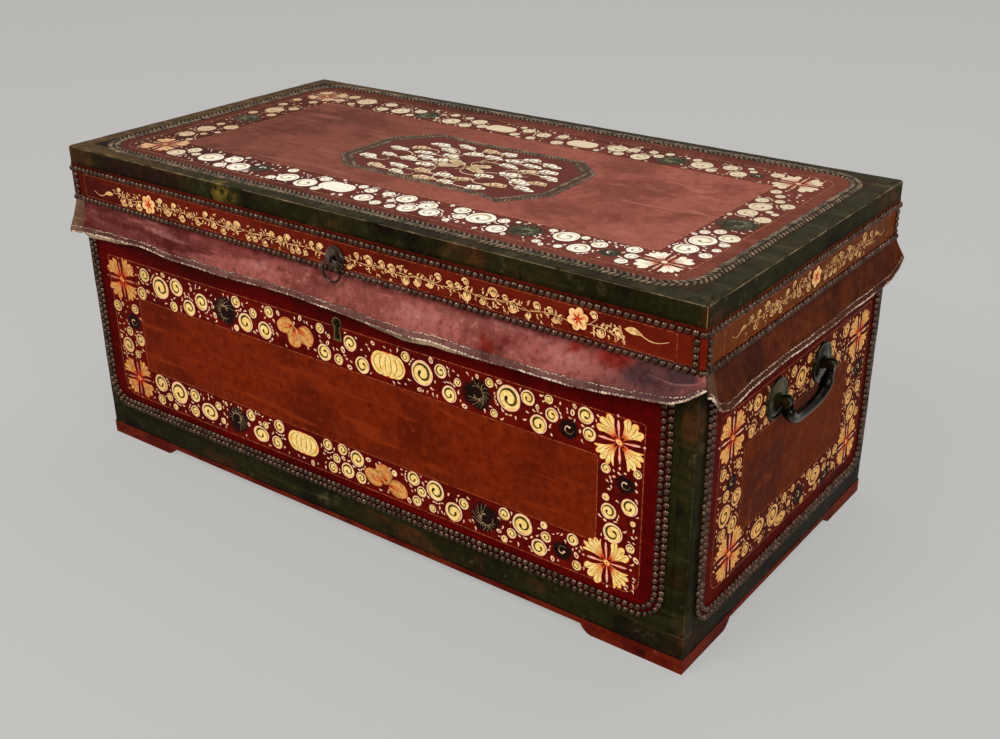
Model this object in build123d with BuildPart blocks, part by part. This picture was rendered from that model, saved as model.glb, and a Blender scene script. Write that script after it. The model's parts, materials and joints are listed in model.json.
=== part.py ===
from build123d import *
from math import tan, radians, sqrt
import os

# A leather-covered camphor-wood trunk with a hinged cap lid.
# Frame: millimetres, +Z up, +X along the front, the front faces -Y.
# The origin is the centre of the footprint, on the ground.

# ---------------------------------------------------------------- sizes
# Case
case_length = 938.0
case_depth = 473.0
wall_height = 322.0
wall = 18.0
bottom_thickness = 12.0
leather = 1.5

# Base
base_height = 18.0
base_width = 18.0
base_lift = 11.0
front_foot = 116.0
side_foot = 95.0
foot_slant = 13.0

# Lid
overhang = 6.0
lid_wall = 22.0
lid_rail_height = 50.8
lid_board_thickness = 21.5
band_recess = 1.0
joint_gap = 0.2

# Coverings
bottom_binding_height = 27.0
corner_binding_width = 18.0
edging_width = 25.0
leather_stop = 3.0
butt_gap = 0.1

# Skirt of soft leather round the joint
skirt_thickness = 2.0
skirt_margin = 8.8
skirt_drop = 46.0
skirt_reach = 11.0
skirt_gap = 0.3

# Dovetails
pin_count = 6
pin_half_width = 6.0
dovetail_slope = 9.0
dovetail_gap = 0.05

# Butt hinges
hinge_offset = 300.0
hinge_length = 70.0
hinge_leaf = 2.0
hinge_leaf_width = 16.0
hinge_radius = 4.5
hinge_pin_radius = 2.0
hinge_running_gap = 0.05
hinge_knuckles = 3
knuckle_gap = 0.2
knuckle_clearance = 0.5
screw_spacing = 23.0

# Screws
screw_radius = 1.5
screw_head_radius = 3.0
screw_length = 14.0
screw_gap = 0.05

# Chest lock
lock_offset = -6.0
lock_width = 84.0
lock_height = 92.0
lock_depth = 12.0
lock_sheet = 1.5
lock_cap = 2.0
lock_gap = 0.2
bolt_travel = 9.0
bolt_thickness = 3.0
bolt_width = 52.0
bolt_height = 26.0
bolt_drop = 26.0
finger_height = 5.0
finger_riser = 6.0
stump_radius = 2.0
stump_spacing = 30.0
loop_spacing = 36.0
loop_thickness = 3.0
loop_width = 8.0
loop_drop = 15.0
loop_clearance = 0.7
link_length = 66.0
link_thickness = 2.0
key_pin_radius = 2.0

# Keyhole
key_drop = 65.0
key_head_radius = 6.0
key_waist = 2.4
key_foot = 4.6
key_length = 21.0
liner_wall = 1.6
liner_proud = 0.8

# Ring pull on the lid
pull_offset = 4.0
pull_rise = 19.8
pull_plate_radius = 14.5
pull_plate_thickness = 4.5
pull_ring_radius = 13.5
pull_wire_radius = 1.5
pull_eye_bar = 1.6
pull_eye_gap = 0.4
pull_eye_width = 2.6
pull_shank_radius = 2.2
pull_clinch = 8.0

# End handles
handle_drop = 96.0
handle_spacing = 116.0
rose_radius = 25.0
rose_rim = 2.5
rose_lip = 3.2
rose_dish = 0.9
rose_dome = 1.5
neck_radius = 6.2
neck_collar = 1.6
pivot_reach = 12.8
head_radius = 6.0
head_width = 11.6
tongue_thickness = 4.7
tongue_radius = 5.4
tongue_gap = 0.15
rivet_radius = 2.5
rivet_gap = 0.05
tail_radius = 4.0
tail_gap = 0.2
peen_radius = 6.5
peen_thickness = 2.5
arm_tilt = 24.0
collar_start = 8.4
collar_length = 9.2
collar_radius = 7.6
grip_drop = 33.0
grip_end_radius = 7.4
grip_mid_radius = 6.0

# ------------------------------------------------------------- derived sizes
floor_bottom = base_height
wall_bottom = floor_bottom + bottom_thickness
rim = wall_bottom + wall_height
lid_bottom = rim + joint_gap
lid_rail_top = lid_bottom + lid_rail_height
lid_board_top = lid_rail_top + lid_board_thickness
chest_height = lid_board_top + leather

case_x = case_length / 2
case_y = case_depth / 2
wood_x = case_x - leather
wood_y = case_y - leather
lid_x = case_x + overhang
lid_y = case_y + overhang
rail_inset = band_recess + leather
rail_x = lid_x - rail_inset
rail_y = lid_y - rail_inset
binding_top = floor_bottom + bottom_binding_height
leather_top = rim - leather_stop
skirt_top = lid_bottom + skirt_margin
skirt_bottom = rim - skirt_drop
key_height = rim - key_drop
handle_height = rim - handle_drop
pull_height = lid_bottom + pull_rise

margin_inset = rail_inset - skirt_thickness
hinge_y = lid_y - margin_inset + knuckle_clearance + hinge_radius
hinge_z = rim + joint_gap / 2
leaf_inner_y = wood_y - hinge_leaf_width
reach_y = lid_y + skirt_reach
reach_x = lid_x + skirt_reach

lock_back_y = wood_y - wall
lock_front_y = lock_back_y + lock_depth
pivot_x = case_x + pivot_reach
pull_back_y = rail_y + max(leather, skirt_thickness)
pull_face_y = pull_back_y + pull_plate_thickness
pull_eye_radius = pull_wire_radius + pull_eye_gap + pull_eye_bar
pull_axis_y = pull_face_y + pull_eye_radius

# Each face of the trunk: its outward and its sideways direction.
OUTWARD = {"front": (0, -1), "right": (1, 0), "back": (0, 1), "left": (-1, 0)}
ENDS = (-1, 1)

os.makedirs("parts", exist_ok=True)


# ------------------------------------------------------------- shared helpers
def outward(side):
    """Unit vector that points out of one face."""
    nx, ny = OUTWARD[side]
    return Vector(nx, ny, 0)


def along(side):
    """Unit vector along one face, to the right as seen from outside."""
    nx, ny = OUTWARD[side]
    return Vector(-ny, nx, 0)


def is_long(side):
    """The front and the back are the long faces."""
    return side in ("front", "back")


def pick(side, across_x, across_y):
    """The distance from the centre to a face, from the half sizes of a box."""
    return across_y if is_long(side) else across_x


def face_plane(side, half_x, half_y):
    """A plane on a face of a box: local X runs along it and local Y is up."""
    distance = pick(side, half_x, half_y)
    return Plane(origin=outward(side) * distance, x_dir=along(side), z_dir=outward(side))


def section_plane(side):
    """A plane across a face: local X points outward and local Y is up."""
    return Plane(origin=(0, 0, 0), x_dir=outward(side), z_dir=along(side) * -1)


def mitre_plane(side, end, half_x, half_y, gap=0.0):
    """The 45 degree plane through a corner of a box. The piece is below it."""
    half_run = pick(side, half_y, half_x)
    distance = pick(side, half_x, half_y)
    normal = (along(side) * end - outward(side)) * (1 / sqrt(2))
    corner = along(side) * (end * half_run) + outward(side) * distance
    return Plane(origin=corner - normal * (gap / 2), z_dir=normal)


def finish(builder, name):
    """Names a finished piece and writes it."""
    builder.part.label = name
    export_step(builder.part, f"parts/{name}.step")


def mitred_strip(side, outline, half_x, half_y, gap=0.0):
    """A strip along one face with a given section and 45 degree ends.

    outline lists (distance from the box face, height) points.
    """
    distance = pick(side, half_x, half_y)
    run = pick(side, half_y, half_x) + skirt_reach
    with BuildPart() as strip:
        with BuildSketch(section_plane(side)):
            with BuildLine():
                Polyline([(distance + out, up) for out, up in outline], close=True)
            make_face()
        extrude(amount=run, both=True)
        for end in ENDS:
            split(bisect_by=mitre_plane(side, end, half_x, half_y, gap), keep=Keep.BOTTOM)
    return strip


def pin_trapezoids(end, shrink=0.0):
    """The dovetail pins at one end of the front, in the sketch plane of a face."""
    pitch = wall_height / pin_count
    flare = wall * tan(radians(dovetail_slope))
    narrow = pin_half_width - shrink
    wide = pin_half_width + flare - shrink
    outer = end * wood_x
    inner = end * (wood_x - wall)
    for index in range(pin_count + 1):
        middle = wall_bottom + index * pitch
        Polygon(
            (outer, middle - narrow),
            (outer, middle + narrow),
            (inner, middle + wide),
            (inner, middle - wide),
            align=None,
        )


def keyhole(height, grow=0.0):
    """A keyhole outline: a round head on a foot that widens downward."""
    with Locations((lock_offset, height)):
        Circle(key_head_radius + grow)
    Polygon(
        (lock_offset - key_waist - grow, height),
        (lock_offset + key_waist + grow, height),
        (lock_offset + key_foot + grow, height - key_length - grow),
        (lock_offset - key_foot - grow, height - key_length - grow),
        align=None,
    )


# ------------------------------------------------------------- case boards
# The front and back boards carry the tails and the end boards the pins.
front_outline = face_plane("front", wood_x, wood_y)
with BuildPart() as front_board:
    with BuildSketch(front_outline):
        with Locations((0, wall_bottom + wall_height / 2)):
            Rectangle(2 * wood_x, wall_height)
    extrude(amount=-wall)
    for end in ENDS:
        with BuildSketch(front_outline):
            pin_trapezoids(end)
        extrude(amount=-wall, mode=Mode.SUBTRACT)
    # A mortise for the lock, open to the inside and at the rim.
    with Locations((lock_offset, -lock_back_y, rim)):
        Box(
            lock_width + 2 * lock_gap,
            2 * (lock_depth + lock_gap),
            2 * (lock_height + lock_gap),
            mode=Mode.SUBTRACT,
        )
    with BuildSketch(front_outline):
        keyhole(key_height, liner_wall + screw_gap)
    extrude(amount=-wall, mode=Mode.SUBTRACT)
finish(front_board, "front_board")


def hinge_screw_spots(height):
    """Points for the screws of both hinges, on their leaves."""
    spots = []
    for end in ENDS:
        for step in ENDS:
            x = end * hinge_offset + step * screw_spacing
            spots.append((x, leaf_inner_y + hinge_leaf_width / 2, height))
    return spots


with BuildPart() as back_board:
    with BuildSketch(face_plane("back", wood_x, wood_y)):
        with Locations((0, wall_bottom + wall_height / 2)):
            Rectangle(2 * wood_x, wall_height)
    extrude(amount=-wall)
    for end in ENDS:
        with BuildSketch(face_plane("back", wood_x, wood_y)):
            pin_trapezoids(end)
        extrude(amount=-wall, mode=Mode.SUBTRACT)
    # Seats for the two lower hinge leaves, then pilot holes for their screws.
    with Locations(*[(end * hinge_offset, wood_y, rim) for end in ENDS]):
        Box(hinge_length, 2 * hinge_leaf_width, 2 * hinge_leaf, mode=Mode.SUBTRACT)
    with Locations(*hinge_screw_spots(rim - hinge_leaf)):
        Hole(screw_radius + screw_gap, screw_length + screw_gap - hinge_leaf)
finish(back_board, "back_board")

handle_spots = [(s * handle_spacing / 2, handle_height) for s in ENDS]

for side in ("left", "right"):
    sign = OUTWARD[side][0]
    board_depth = 2 * (wood_y - wall) - 2 * dovetail_gap
    with BuildPart() as end_board:
        with Locations((sign * (wood_x - wall / 2), 0, wall_bottom + wall_height / 2)):
            Box(wall, board_depth, wall_height)
        for face in ("front", "back"):
            with BuildSketch(face_plane(face, wood_x, wood_y)):
                pin_trapezoids(sign if face == "front" else -sign, dovetail_gap)
                with Locations((0, wall_bottom + wall_height / 2)):
                    Rectangle(3 * wood_x, wall_height, mode=Mode.INTERSECT)
            extrude(amount=-wall - dovetail_gap)
        # Holes for the tails of the two handle posts.
        with BuildSketch(face_plane(side, wood_x, wood_y)):
            with Locations(*handle_spots):
                Circle(tail_radius + tail_gap)
        extrude(amount=-wall, mode=Mode.SUBTRACT)
    finish(end_board, f"{side}_board")

with BuildPart() as bottom_board:
    with Locations((0, 0, floor_bottom + bottom_thickness / 2)):
        Box(2 * wood_x, 2 * wood_y, bottom_thickness)
finish(bottom_board, "bottom_board")

# ------------------------------------------------------------- base rails
for side in OUTWARD:
    half_run = pick(side, case_y, case_x)
    foot = pick(side, side_foot, front_foot)
    inner_foot = half_run - foot
    inner_rail = inner_foot - foot_slant
    with BuildPart() as base_rail:
        with BuildSketch(face_plane(side, case_x, case_y)):
            with BuildLine():
                # Each foot ends in a shallow hollow that runs up to the rail.
                Polyline(
                    (-inner_foot, 0),
                    (-half_run, 0),
                    (-half_run, base_height),
                    (half_run, base_height),
                    (half_run, 0),
                    (inner_foot, 0),
                )
                right_end = SagittaArc(
                    (inner_foot, 0), (inner_rail, base_lift), foot_slant / 8
                )
                Line(right_end @ 1, (-inner_rail, base_lift))
                SagittaArc((-inner_rail, base_lift), (-inner_foot, 0), foot_slant / 8)
            make_face()
        extrude(amount=-base_width)
        for end in ENDS:
            split(bisect_by=mitre_plane(side, end, case_x, case_y), keep=Keep.BOTTOM)
    finish(base_rail, f"base_rail_{side}")

# ------------------------------------------------------------- case leather
for side in OUTWARD:
    half_run = pick(side, case_y, case_x) - corner_binding_width - butt_gap
    panel_height = leather_top - binding_top - butt_gap
    with BuildPart() as panel:
        with BuildSketch(face_plane(side, case_x, case_y)):
            with Locations((0, binding_top + butt_gap + panel_height / 2)):
                Rectangle(2 * half_run, panel_height)
            if not is_long(side):
                with Locations(*handle_spots):
                    Circle(tail_radius + tail_gap, mode=Mode.SUBTRACT)
        extrude(amount=-leather)
        if side == "front":
            with BuildSketch(face_plane(side, case_x, case_y)):
                keyhole(key_height, liner_wall + screw_gap)
            extrude(amount=-leather, mode=Mode.SUBTRACT)
    finish(panel, f"{side}_leather")

# Green strips folded round the four upright corners.
for x_side, x_sign in (("left", -1), ("right", 1)):
    for y_side, y_sign in (("front", -1), ("back", 1)):
        inner_x = case_x - corner_binding_width
        inner_y = case_y - corner_binding_width
        with BuildPart() as corner:
            with BuildSketch(Plane.XY.offset(binding_top)):
                with BuildLine():
                    Polyline(
                        (x_sign * inner_x, y_sign * case_y),
                        (x_sign * case_x, y_sign * case_y),
                        (x_sign * case_x, y_sign * inner_y),
                        (x_sign * wood_x, y_sign * inner_y),
                        (x_sign * wood_x, y_sign * wood_y),
                        (x_sign * inner_x, y_sign * wood_y),
                        close=True,
                    )
                make_face()
            extrude(amount=leather_top - binding_top)
        finish(corner, f"corner_binding_{y_side}_{x_side}")

with BuildPart() as bottom_binding:
    with BuildSketch(Plane.XY.offset(floor_bottom)):
        Rectangle(2 * case_x, 2 * case_y)
        Rectangle(2 * wood_x, 2 * wood_y, mode=Mode.SUBTRACT)
    extrude(amount=bottom_binding_height)
finish(bottom_binding, "bottom_binding")

# ------------------------------------------------------------- lid boards
for side in OUTWARD:
    rail_outline = [
        (0, lid_bottom),
        (0, lid_rail_top),
        (-lid_wall, lid_rail_top),
        (-lid_wall, lid_bottom),
    ]
    with BuildPart() as lid_rail:
        add(mitred_strip(side, rail_outline, rail_x, rail_y).part)
        if side == "back":
            with Locations(*[(end * hinge_offset, rail_y, lid_bottom) for end in ENDS]):
                Box(
                    hinge_length,
                    2 * (rail_y - leaf_inner_y),
                    2 * hinge_leaf,
                    mode=Mode.SUBTRACT,
                )
            with BuildSketch(Plane.XY.offset(lid_bottom + hinge_leaf)):
                with Locations(*[(x, y) for x, y, _ in hinge_screw_spots(0)]):
                    Circle(screw_radius + screw_gap)
            extrude(amount=screw_length + screw_gap - hinge_leaf, mode=Mode.SUBTRACT)
        if side == "front":
            # A seat for the lock's link plate and a hole for the pull's shank.
            with Locations((lock_offset, -rail_y + lid_wall, lid_bottom)):
                Box(
                    link_length,
                    2 * (lid_wall - rail_y + lock_front_y),
                    2 * link_thickness,
                    mode=Mode.SUBTRACT,
                )
            with BuildSketch(Plane.XZ.offset(rail_y)):
                with Locations((pull_offset, pull_height)):
                    Circle(pull_shank_radius + tail_gap)
            extrude(amount=-lid_wall, mode=Mode.SUBTRACT)
    finish(lid_rail, f"lid_rail_{side}")

with BuildPart() as lid_board:
    with Locations((0, 0, lid_rail_top + lid_board_thickness / 2)):
        Box(2 * (lid_x - leather), 2 * (lid_y - leather), lid_board_thickness)
finish(lid_board, "lid_board")

# ------------------------------------------------------------- lid leather
with BuildPart() as lid_leather:
    with Locations((0, 0, lid_board_top + leather / 2)):
        Box(
            2 * (lid_x - edging_width - butt_gap),
            2 * (lid_y - edging_width - butt_gap),
            leather,
        )
finish(lid_leather, "lid_leather")

for side in OUTWARD:
    # Green edging: a strip folded over the edge of the lid board.
    edging_outline = [
        (0, lid_rail_top),
        (0, chest_height),
        (-edging_width, chest_height),
        (-edging_width, lid_board_top),
        (-leather, lid_board_top),
        (-leather, lid_rail_top),
    ]
    edging = mitred_strip(side, edging_outline, lid_x, lid_y)
    finish(edging, f"lid_edging_{side}")

    # The red band below the edging.
    band_outline = [
        (0, skirt_top),
        (0, lid_rail_top),
        (leather, lid_rail_top),
        (leather, skirt_top),
    ]
    with BuildPart() as band:
        add(mitred_strip(side, band_outline, rail_x, rail_y).part)
        if side == "front":
            with BuildSketch(Plane.XZ.offset(rail_y + leather)):
                with Locations((pull_offset, pull_height)):
                    Circle(pull_shank_radius + tail_gap)
            extrude(amount=-leather, mode=Mode.SUBTRACT)
    finish(band, f"lid_band_{side}")

# The skirt hangs from a nailed margin and flares outward.
for side in ("front", "left", "right"):
    flare = skirt_reach + rail_inset - skirt_thickness
    skirt_outline = [
        (0, skirt_top),
        (skirt_thickness, skirt_top),
        (skirt_thickness, lid_bottom),
        (skirt_thickness + flare, skirt_bottom),
        (flare, skirt_bottom),
        (0, lid_bottom),
    ]
    flap = mitred_strip(side, skirt_outline, rail_x, rail_y, skirt_gap)
    finish(flap, f"{side}_flap")

# At the back only the margin is carried by the lid, above the hinge leaves.
margin_bottom = lid_bottom + hinge_leaf + 2 * skirt_gap
margin_outline = [
    (0, margin_bottom),
    (0, skirt_top),
    (skirt_thickness, skirt_top),
    (skirt_thickness, margin_bottom),
]
back_margin = mitred_strip("back", margin_outline, rail_x, rail_y, skirt_gap)
finish(back_margin, "back_flap_margin")

# The back of the skirt hangs down over the hinge knuckles and stays upright.
back_flap_inner = hinge_y + hinge_radius + skirt_gap
with BuildPart() as back_flap:
    with Locations((0, (back_flap_inner + reach_y) / 2, (skirt_bottom + rim - hinge_leaf) / 2)):
        Box(
            2 * (rail_x - skirt_thickness),
            reach_y - back_flap_inner,
            rim - hinge_leaf - skirt_bottom,
        )
finish(back_flap, "back_flap")

# ------------------------------------------------------------- hinges
knuckle_length = hinge_length / hinge_knuckles


def hinge_leaf_piece(name, end, on_lid):
    """One leaf of a butt hinge with its share of the knuckles."""
    middle = end * hinge_offset
    first = 1 if on_lid else 0
    mine = [i for i in range(hinge_knuckles) if i % 2 == first]
    others = [i for i in range(hinge_knuckles) if i % 2 != first]
    start = middle - hinge_length / 2
    leaf_bottom = lid_bottom if on_lid else rim - hinge_leaf
    leaf_width = hinge_y - leaf_inner_y
    with BuildPart() as leaf:
        with Locations((middle, leaf_inner_y + leaf_width / 2, leaf_bottom + hinge_leaf / 2)):
            Box(hinge_length, leaf_width, hinge_leaf)
        # Room for the other leaf's knuckles.
        for index in others:
            x = start + (index + 0.5) * knuckle_length
            with Locations((x, hinge_y, hinge_z)):
                Box(
                    knuckle_length,
                    2 * (hinge_radius + skirt_gap),
                    4 * hinge_leaf,
                    mode=Mode.SUBTRACT,
                )
        for index in mine:
            x = start + (index + 0.5) * knuckle_length
            with Locations((x, hinge_y, hinge_z)):
                Cylinder(
                    hinge_radius,
                    knuckle_length - knuckle_gap,
                    rotation=(0, 90, 0),
                )
        with Locations((middle, hinge_y, hinge_z)):
            Cylinder(
                hinge_pin_radius + hinge_running_gap,
                hinge_length + 1,
                rotation=(0, 90, 0),
                mode=Mode.SUBTRACT,
            )
        # Countersunk holes for the screws.
        flip = 180 if on_lid else 0
        face_height = lid_bottom if on_lid else rim
        spots = [p for p in hinge_screw_spots(face_height) if p[0] * end > 0]
        for spot in spots:
            with Locations(Location(spot, (flip, 0, 0))):
                CounterSinkHole(screw_radius + screw_gap, screw_head_radius + screw_gap)
    finish(leaf, name)


for end, side in ((-1, "left"), (1, "right")):
    hinge_leaf_piece(f"hinge_leaf_case_{side}", end, False)
    hinge_leaf_piece(f"hinge_leaf_lid_{side}", end, True)
    with BuildPart() as hinge_pin:
        with Locations((end * hinge_offset, hinge_y, hinge_z)):
            Cylinder(hinge_pin_radius, hinge_length, rotation=(0, 90, 0))
            # Peened heads close both ends of the barrel.
            for head in ENDS:
                with Locations((head * (hinge_length / 2 + hinge_pin_radius / 4), 0, 0)):
                    Cylinder(
                        hinge_pin_radius + 4 * hinge_running_gap,
                        hinge_pin_radius / 2,
                        rotation=(0, 90, 0),
                    )
    finish(hinge_pin, f"hinge_pin_{side}")


def screw_profile():
    """Half section of a countersunk screw: the head's top is at the origin."""
    Polygon(
        (0, 0),
        (screw_head_radius, 0),
        (screw_radius, -(screw_head_radius - screw_radius)),
        (screw_radius, -screw_length),
        (0, -screw_length),
        align=None,
    )


def screw_group(name, spots, flip):
    """A group of separate screws, heads up, or heads down with flip."""
    with BuildPart() as screws:
        for spot in spots:
            direction = (0, 0, -1) if flip else (0, 0, 1)
            stand = Plane(origin=spot, x_dir=(1, 0, 0), z_dir=direction)
            upright = Plane(origin=spot, x_dir=(1, 0, 0), z_dir=stand.y_dir * -1)
            with BuildSketch(upright):
                screw_profile()
            revolve(axis=Axis(spot, direction))
    finish(screws, name)


screw_group("case_screws", hinge_screw_spots(rim), False)
screw_group("lid_screws", hinge_screw_spots(lid_bottom), True)

# ------------------------------------------------------------- lock
lock_x0 = lock_offset - lock_width / 2
lock_x1 = lock_offset + lock_width / 2
lock_bottom = rim - lock_height
cover_front_y = lock_back_y + lock_sheet
plate_back_y = lock_front_y - lock_sheet
bolt_top = rim - bolt_drop
bolt_bottom = bolt_top - bolt_height
bolt_front_y = plate_back_y - skirt_gap
finger_top = rim - lock_cap - 4 * loop_clearance
finger_bottom = finger_top - finger_height
loop_bottom = lid_bottom - loop_drop
loop_spots = [lock_offset + s * loop_spacing / 2 for s in ENDS]
stump_spots = [lock_offset + s * stump_spacing / 2 for s in ENDS]
stump_height = (bolt_top + bolt_bottom) / 2
lock_middle_y = (lock_back_y + lock_front_y) / 2

with BuildPart() as lock_case:
    with Locations((lock_offset, -(cover_front_y + lock_front_y) / 2, rim - lock_height / 2)):
        Box(lock_width, lock_front_y - cover_front_y, lock_height)
    # The case is a tray, open to the back, with a thicker plate at the rim.
    tray_height = lock_height - lock_cap - lock_sheet
    with Locations(
        (
            lock_offset,
            -(cover_front_y + plate_back_y) / 2,
            lock_bottom + lock_sheet + tray_height / 2,
        )
    ):
        Box(
            lock_width - 2 * lock_sheet,
            plate_back_y - cover_front_y,
            tray_height,
            mode=Mode.SUBTRACT,
        )
    # Slots in the rim plate for the two loops.
    with Locations(*[(x, -lock_middle_y, rim) for x in loop_spots]):
        Box(
            loop_thickness + 2 * loop_clearance,
            loop_width + 2 * loop_clearance,
            3 * lock_cap,
            mode=Mode.SUBTRACT,
        )
    with BuildSketch(Plane.XZ.offset(lock_front_y)):
        keyhole(key_height)
    extrude(amount=-lock_sheet, mode=Mode.SUBTRACT)
    # Two stumps carry and guide the bolt.
    with BuildSketch(Plane.XZ.offset(plate_back_y)):
        with Locations(*[(x, stump_height) for x in stump_spots]):
            Circle(stump_radius)
    extrude(amount=-(plate_back_y - cover_front_y))
finish(lock_case, "lock_case")

with BuildPart() as lock_cover:
    with Locations((lock_offset, -(lock_back_y + lock_sheet / 2), rim - lock_height / 2)):
        Box(lock_width, lock_sheet, lock_height)
    # The pin that centres the hollow key.
    with BuildSketch(Plane.XZ.offset(cover_front_y)):
        with Locations((lock_offset, key_height)):
            Circle(key_pin_radius)
    extrude(amount=plate_back_y - cover_front_y)
finish(lock_cover, "lock_cover")

# The bolt: a plate with two slots for the stumps and two fingers for the loops.
with BuildPart() as lock_bolt:
    with BuildSketch(Plane.XZ.offset(bolt_front_y)):
        with Locations((lock_offset - bolt_travel / 2, stump_height)):
            Rectangle(bolt_width, bolt_height)
        for x in loop_spots:
            tip = x - loop_thickness / 2 - loop_clearance
            root = tip - bolt_travel
            with Locations(((tip + root) / 2, (finger_top + finger_bottom) / 2)):
                Rectangle(bolt_travel, finger_height)
            with Locations((root - finger_riser / 2, (finger_top + bolt_bottom) / 2)):
                Rectangle(finger_riser, finger_top - bolt_bottom)
        # The notch that the key's bit turns in.
        with Locations((lock_offset, bolt_bottom)):
            Circle(bolt_height / 4, mode=Mode.SUBTRACT)
        with Locations(*[(x - bolt_travel / 2, stump_height) for x in stump_spots]):
            SlotCenterToCenter(
                bolt_travel,
                2 * (stump_radius + hinge_running_gap),
                mode=Mode.SUBTRACT,
            )
    extrude(amount=-bolt_thickness)
finish(lock_bolt, "lock_bolt")

# The link plate on the lid, with the two loops that drop into the lock.
finger_y = bolt_front_y - bolt_thickness / 2
with BuildPart() as link_plate:
    plate_width = lock_front_y - rail_y + lid_wall
    with Locations(
        (lock_offset, -(lock_front_y - plate_width / 2), lid_bottom + link_thickness / 2)
    ):
        Box(link_length, plate_width, link_thickness)
    with Locations(*[(x, -lock_middle_y, lid_bottom - loop_drop / 2) for x in loop_spots]):
        Box(loop_thickness, loop_width, loop_drop)
    # The eyes that the bolt's fingers pass through.
    with Locations(*[(x, -finger_y, (finger_top + finger_bottom) / 2) for x in loop_spots]):
        Box(
            2 * loop_thickness,
            bolt_thickness + 2 * loop_clearance,
            finger_height + 2 * loop_clearance,
            mode=Mode.SUBTRACT,
        )
finish(link_plate, "link_plate")

liner_length = case_y + liner_proud - lock_front_y - lock_gap
with BuildPart() as keyhole_liner:
    with BuildSketch(Plane.XZ.offset(case_y + liner_proud)):
        keyhole(key_height, liner_wall)
    extrude(amount=-liner_length)
    with BuildSketch(Plane.XZ.offset(case_y + liner_proud)):
        keyhole(key_height)
    extrude(amount=-liner_length, mode=Mode.SUBTRACT)
finish(keyhole_liner, "keyhole_liner")

# ------------------------------------------------------------- ring pull
with BuildPart() as pull_plate:
    # A stepped round plate, turned about its own axis.
    with BuildSketch(Plane.XY.offset(pull_height)):
        with BuildLine():
            edge = pull_offset + pull_plate_radius
            back = -pull_back_y
            Polyline(
                (pull_offset + pull_shank_radius + tail_gap, back),
                (edge, back),
                (edge, back - 0.30 * pull_plate_thickness),
                (edge - 2.0, back - 0.45 * pull_plate_thickness),
                (edge - 2.6, back - 0.75 * pull_plate_thickness),
                (edge - 6.0, back - pull_plate_thickness),
                (pull_offset + pull_shank_radius + tail_gap, back - pull_plate_thickness),
                close=True,
            )
        make_face()
    revolve(axis=Axis((pull_offset, 0, pull_height), (0, 1, 0)))
finish(pull_plate, "pull_plate")

with BuildPart() as pull_staple:
    # The eye, a shank through the lid rail and two ends bent over inside.
    with Locations((pull_offset, -pull_axis_y, pull_height)):
        Cylinder(pull_eye_radius, pull_eye_width, rotation=(0, 90, 0))
    inner_face = rail_y - lid_wall
    with BuildSketch(Plane.XZ.offset(pull_axis_y - pull_eye_radius + pull_eye_bar)):
        with Locations((pull_offset, pull_height)):
            Circle(pull_shank_radius)
    extrude(amount=-(pull_axis_y - pull_eye_radius + pull_eye_bar - inner_face))
    with Locations((pull_offset, -(inner_face - pull_shank_radius / 2), pull_height)):
        Box(2 * pull_clinch, pull_shank_radius, pull_shank_radius)
    with Locations((pull_offset, -pull_axis_y, pull_height)):
        Cylinder(
            pull_wire_radius + pull_eye_gap,
            4 * pull_eye_width,
            rotation=(0, 90, 0),
            mode=Mode.SUBTRACT,
        )
finish(pull_staple, "pull_staple")

with BuildPart() as pull_ring:
    with Locations((pull_offset, -pull_axis_y, pull_height - pull_ring_radius)):
        Torus(pull_ring_radius, pull_wire_radius, rotation=(90, 0, 0))
finish(pull_ring, "pull_ring")

# ------------------------------------------------------------- end handles
# A post and its round rose are one casting, and the tail is peened inside.
tail_end = -(leather + wall)
for place, y_sign in (("front", -1), ("back", 1)):
    y = y_sign * handle_spacing / 2
    turning = Plane(origin=(case_x, y, handle_height), x_dir=(1, 0, 0), z_dir=(0, -1, 0))
    with BuildPart() as post:
        with BuildSketch(turning):
            with BuildLine():
                Polyline(
                    (tail_end - peen_thickness, 0),
                    (tail_end - peen_thickness, tail_radius),
                    (tail_end, peen_radius),
                    (tail_end, tail_radius),
                    (0, tail_radius),
                    (0, rose_radius),
                    (rose_rim, rose_radius - rose_dish),
                    (rose_rim, rose_radius - rose_lip),
                    (rose_rim - rose_dish, rose_radius - rose_lip - 2 * rose_dish),
                )
                dome = SagittaArc(
                    (rose_rim - rose_dish, rose_radius - rose_lip - 2 * rose_dish),
                    (rose_rim + rose_dome, neck_radius + neck_collar),
                    rose_dome / 2,
                )
                Polyline(
                    dome @ 1,
                    (rose_rim + rose_dome + neck_collar, neck_radius + neck_collar),
                    (rose_rim + rose_dome + neck_collar, neck_radius),
                    (pivot_reach - tongue_radius / 2, neck_radius),
                    (pivot_reach - tongue_radius / 2, 0),
                    (tail_end - peen_thickness, 0),
                )
            make_face()
        revolve(axis=Axis((0, y, handle_height), (1, 0, 0)))
        # The forked head, its slot and the rivet across it.
        with Locations((pivot_x, y, handle_height)):
            Cylinder(head_radius, head_width, rotation=(90, 0, 0))
        slot_reach = tongue_radius + 2 * tongue_gap
        slot_length = 2 * head_radius + slot_reach
        slot_middle = pivot_x - slot_reach + slot_length / 2
        with Locations((slot_middle, y, handle_height)):
            Box(
                slot_length,
                tongue_thickness + 2 * tongue_gap,
                4 * head_radius,
                mode=Mode.SUBTRACT,
            )
        with Locations((pivot_x, y, handle_height)):
            Cylinder(rivet_radius, head_width, rotation=(90, 0, 0))
    finish(post, f"handle_post_right_{place}")
    with BuildPart() as left_post:
        mirror(post.part, about=Plane.YZ)
    finish(left_post, f"handle_post_left_{place}")

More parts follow.
